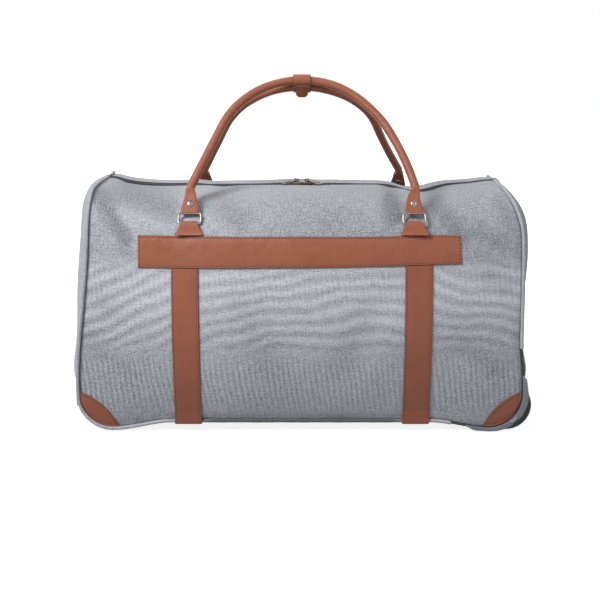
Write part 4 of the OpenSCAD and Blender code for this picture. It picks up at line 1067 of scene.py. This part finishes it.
chain_lines = [(top_line(COIL_US, side * 1.1 * MM, CHAIN_TOP + 1.3 * MM), np.tile([0.0, 0.0, 1.0], (len(COIL_US), 1)))
               for side in (-1, 1)]
coil = add_repeats("zip_teeth", chain_lines, 1.7 * MM, (1.15 * MM, 3.6 * MM, 2.2 * MM), coil_plastic, "bag")
bed = add_ribbon("zip_bed", np.linspace(-CHAIN_HALF + 0.2 * MM, CHAIN_HALF - 0.2 * MM, 3), CHAIN_TOP + 1.5 * MM,
                 TAPE_DROP, coil_plastic)
for piece in (coil, bed):
    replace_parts(piece, "zip_chain")

# Stitches along the hems beside the zip
HEM_STITCH, HEM_STEP, HEM_DOWN = (2.4 * MM, 0.55 * MM, 0.45 * MM), 3.4 * MM, 3.4 * MM / (120 * MM)
hem_u = np.linspace(-0.95, 0.95, 260)
hem_v = np.full_like(hem_u, 1 - HEM_DOWN)
hem_lines = [(mirrored(skin(hem_u, hem_v, -0.0001, back), back),
              mirrored(front_normal(hem_u, hem_v), back)) for side, back in SIDES]
add_repeats("hem_stitches", hem_lines, HEM_STEP, HEM_STITCH, cloth_thread, "bag")

# Hardware: the solid's own form, merged, with its edges rounded, in a finish of its own
BODY_OF = {node: body for body, nodes in frame["record"]["behaviour"]["bodies"].items() for node in nodes}


def rounded(node, width, finish, segments=2, flat=0.6, sharp=32):
    form = bmesh.new()
    form.from_mesh(frame["nodes"][node].data)
    bmesh.ops.remove_doubles(form, verts=form.verts, dist=2e-6)
    bmesh.ops.dissolve_limit(form, angle_limit=math.radians(flat), verts=form.verts, edges=form.edges)
    mesh = bpy.data.meshes.new(node + "_form")
    form.to_mesh(mesh)
    form.free()
    draft = show(node + "_draft", mesh)
    if width > 0:
        bevel = draft.modifiers.new("edges", "BEVEL")
        bevel.width, bevel.segments = width, segments
        bevel.limit_method, bevel.angle_limit = "ANGLE", math.radians(28)
        bevel.miter_outer = "MITER_ARC"
    made = baked(draft)
    made.materials.clear()
    made.materials.append(finish)
    made.shade_smooth()
    made.set_sharp_from_angle(angle=math.radians(sharp))
    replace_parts(fit(node + "_formed", made, BODY_OF[node]), node)


for side in ("front", "back"):
    rounded(f"rings_{side}", 0, nickel, flat=0.1, sharp=50)
    rounded(f"handle_rivets_{side}", 0, nickel, flat=0.1, sharp=60)
    rounded(f"wheel_housing_{side}", 0.5 * MM, black_plastic)
    rounded(f"corner_guard_{side}", 1.0 * MM, guard_plastic, 3)
    rounded(f"axle_{side}", 0.4 * MM, axle_steel)
    rounded(f"hub_{side}", 0.5 * MM, hub_plastic)
BLACK, TUBE, ZIP = (black_plastic, "black_plastic"), (tube_metal, "tube_metal"), (warm_nickel, "zip_metal")
for node, width, finish, slot in (
        ("handle_bezel", 1.2, *BLACK), ("grip", 2.2, *BLACK), ("release_button", 0.9, guard_plastic, "button_plastic"),
        ("tube_bracket", 1.0, *BLACK), ("tube_collars", 0.3, *BLACK), ("tube_glides", 0.5, *BLACK),
        ("outer_tubes", 0.2, *TUBE), ("inner_tubes", 0.2, *TUBE), ("base_feet", 1.0, *BLACK),
        ("base_board", 0.4, board, "board"), ("zip_slider_left", 0.8, *ZIP), ("zip_slider_right", 0.8, *ZIP),
        ("zip_pull_left", 0.5, *ZIP), ("zip_pull_right", 0.5, *ZIP)):
    rounded(node, width * MM, finish, 3)


# Tyres: three grooves run round the tread, and the sides are a little hollow
WHEEL_X, WHEEL_Y, WHEEL_R, WHEEL_W, HUB_R = 261 * MM, 97.7 * MM, 32 * MM, 22 * MM, 22 * MM
TYRE_LIP, TYRE_ROUND, GROOVES = 0.5 * MM, 3 * MM, (-4.6 * MM, 0.0, 4.6 * MM)
# One groove across the tread: depth and place, in mm
GROOVE_CUT = ((0.0, -0.9), (0.25, -0.65), (1.3, -0.45), (1.3, 0.45), (0.25, 0.65), (0.0, 0.9))


def tyre_profile():
    half = WHEEL_W / 2
    rows = [(HUB_R, -half + 0.4 * MM), (HUB_R + 0.4 * MM, -half), (HUB_R + 2.0 * MM, -half)]
    rows += [(HUB_R + 2.6 * MM, -half + TYRE_LIP), (WHEEL_R - 4.4 * MM, -half + TYRE_LIP), (WHEEL_R - 3.8 * MM, -half)]
    rows += [(WHEEL_R - TYRE_ROUND + TYRE_ROUND * math.sin(t), -half + TYRE_ROUND - TYRE_ROUND * math.cos(t))
             for t in np.radians(np.linspace(8, 84, 8))]
    rows += [(WHEEL_R - deep * MM, groove + across * MM) for groove in GROOVES for deep, across in GROOVE_CUT]
    return np.array(rows + [(r, -y) for r, y in rows if y < -half + 3.1 * MM][::-1])


profile = tyre_profile()
turn = np.linspace(0, 2 * np.pi, 129)[:-1]
for side, sign in (("front", -1), ("back", 1)):
    r, y = profile[None, :, 0], profile[None, :, 1]
    ring = joined(WHEEL_X + r * np.cos(turn)[:, None], sign * WHEEL_Y + y, WHEEL_R + r * np.sin(turn)[:, None])
    n, m = ring.shape[:2]
    faces = round_quads(n + 1, m)[:, [0, 3, 2, 1]] % (n * m)
    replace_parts(add_piece(f"tyre_{side}_formed", ring, faces, rubber, f"wheel_{side}", sharp=40),
                f"tyre_{side}")


# A tab is let into each guard, at the lowest part of the corner; under it a thin black strip, barely proud of the
# guard, is painted shade standing for the slot
GUARD_FACE = 119.5 * MM


def guard_strip(name, qs, outs, proud, finish, back):
    q, out = lattice(qs, outs[::-1])
    point = front_point(strip_u(q), strip_v(q)) + seam_out(q) * out[..., None]
    edge = np.minimum(inside(q) * 66 * MM, inside(out))
    outer, inner = point.copy(), point.copy()
    outer[..., 1] = -GUARD_FACE - proud * (0.3 + 0.7 * rolled(edge, 0.5 * MM))
    inner[..., 1] = -GUARD_FACE + 0.3 * MM
    add_slab(name, outer, inner, finish, "bag", joined(q, out), back=back)


for side, back in SIDES:
    guard_strip(f"guard_tab_{side}", between(3.43, 3.58, 0.01, (0.0, 0.002, 0.005, 0.009)),
                between(1.6 * MM, 4.8 * MM, 0.5 * MM, (0.0, 0.15 * MM, 0.3 * MM, 0.5 * MM)), 0.8 * MM,
                tab_plastic, back)
    # Painted shade of the slot: a black strip on the guard's face
    guard_strip(f"painted_slot_shade_{side}", between(3.44, 3.57, 0.01, (0.0, 0.003)),
                between(5.1 * MM, 6.6 * MM, 0.3 * MM, (0.0, 0.2 * MM)), 0.08 * MM, black_plastic, back)


# Studio: a large soft lamp high on the left, a weaker one on the right, and a pale floor and backdrop
LAMP_TARGET = Vector((0, 0, 0.2))
for name, at, power, size in (("key", (-1.2, -1.2, 1.8), 49, 1.1), ("fill", (1.4, -1.2, 1.5), 7, 1.2),
                              ("back", (0.1, 1.3, 2.0), 12, 1.2)):
    data = bpy.data.lights.new(name, "AREA")
    data.energy, data.shape, data.size = power, "DISK", size
    lamp = show(name, data)
    lamp.location = at
    lamp.rotation_euler = (LAMP_TARGET - Vector(at)).to_track_quat("-Z", "Y").to_euler()


def seen(start):
    rays = start.node("ShaderNodeLightPath")
    camera_ray, glossy, through = (rays.other(f"Is {kind} Ray") for kind in ("Camera", "Glossy", "Transmission"))
    return camera_ray.at_least(glossy).at_least(through)


world = bpy.data.worlds.new("studio")
world.use_nodes = True
scene.world = world
sky = seen(Value(world.node_tree)).tint((0.15, 0.155, 0.168, 1), (1, 1, 1, 1))
background = world.node_tree.nodes["Background"]
world.node_tree.links.new(sky.socket, background.inputs["Color"])
background.inputs["Strength"].default_value = 1.0


def paper(start):
    away = start.node("ShaderNodeVectorMath", {0: place(start)}, out=1, operation="LENGTH")
    lit = away.span(0.35, 0.9).tint((0.86, 0.86, 0.86, 1), (1.3, 1.3, 1.3, 1))
    return {"Emission Color": seen(start).tint((0, 0, 0, 1), lit)}


floor_mesh = bpy.data.meshes.new("floor")
floor_mesh.from_pydata([(-6, -6, 0), (6, -6, 0), (6, 6, 0), (-6, 6, 0)], [], [(0, 1, 2, 3)])
floor_mesh.materials.append(material("floor paper", paper, Base_Color=(0.42, 0.42, 0.43, 1), Roughness=0.9,
                                     Emission_Strength=1.0))
floor = show("floor", floor_mesh)
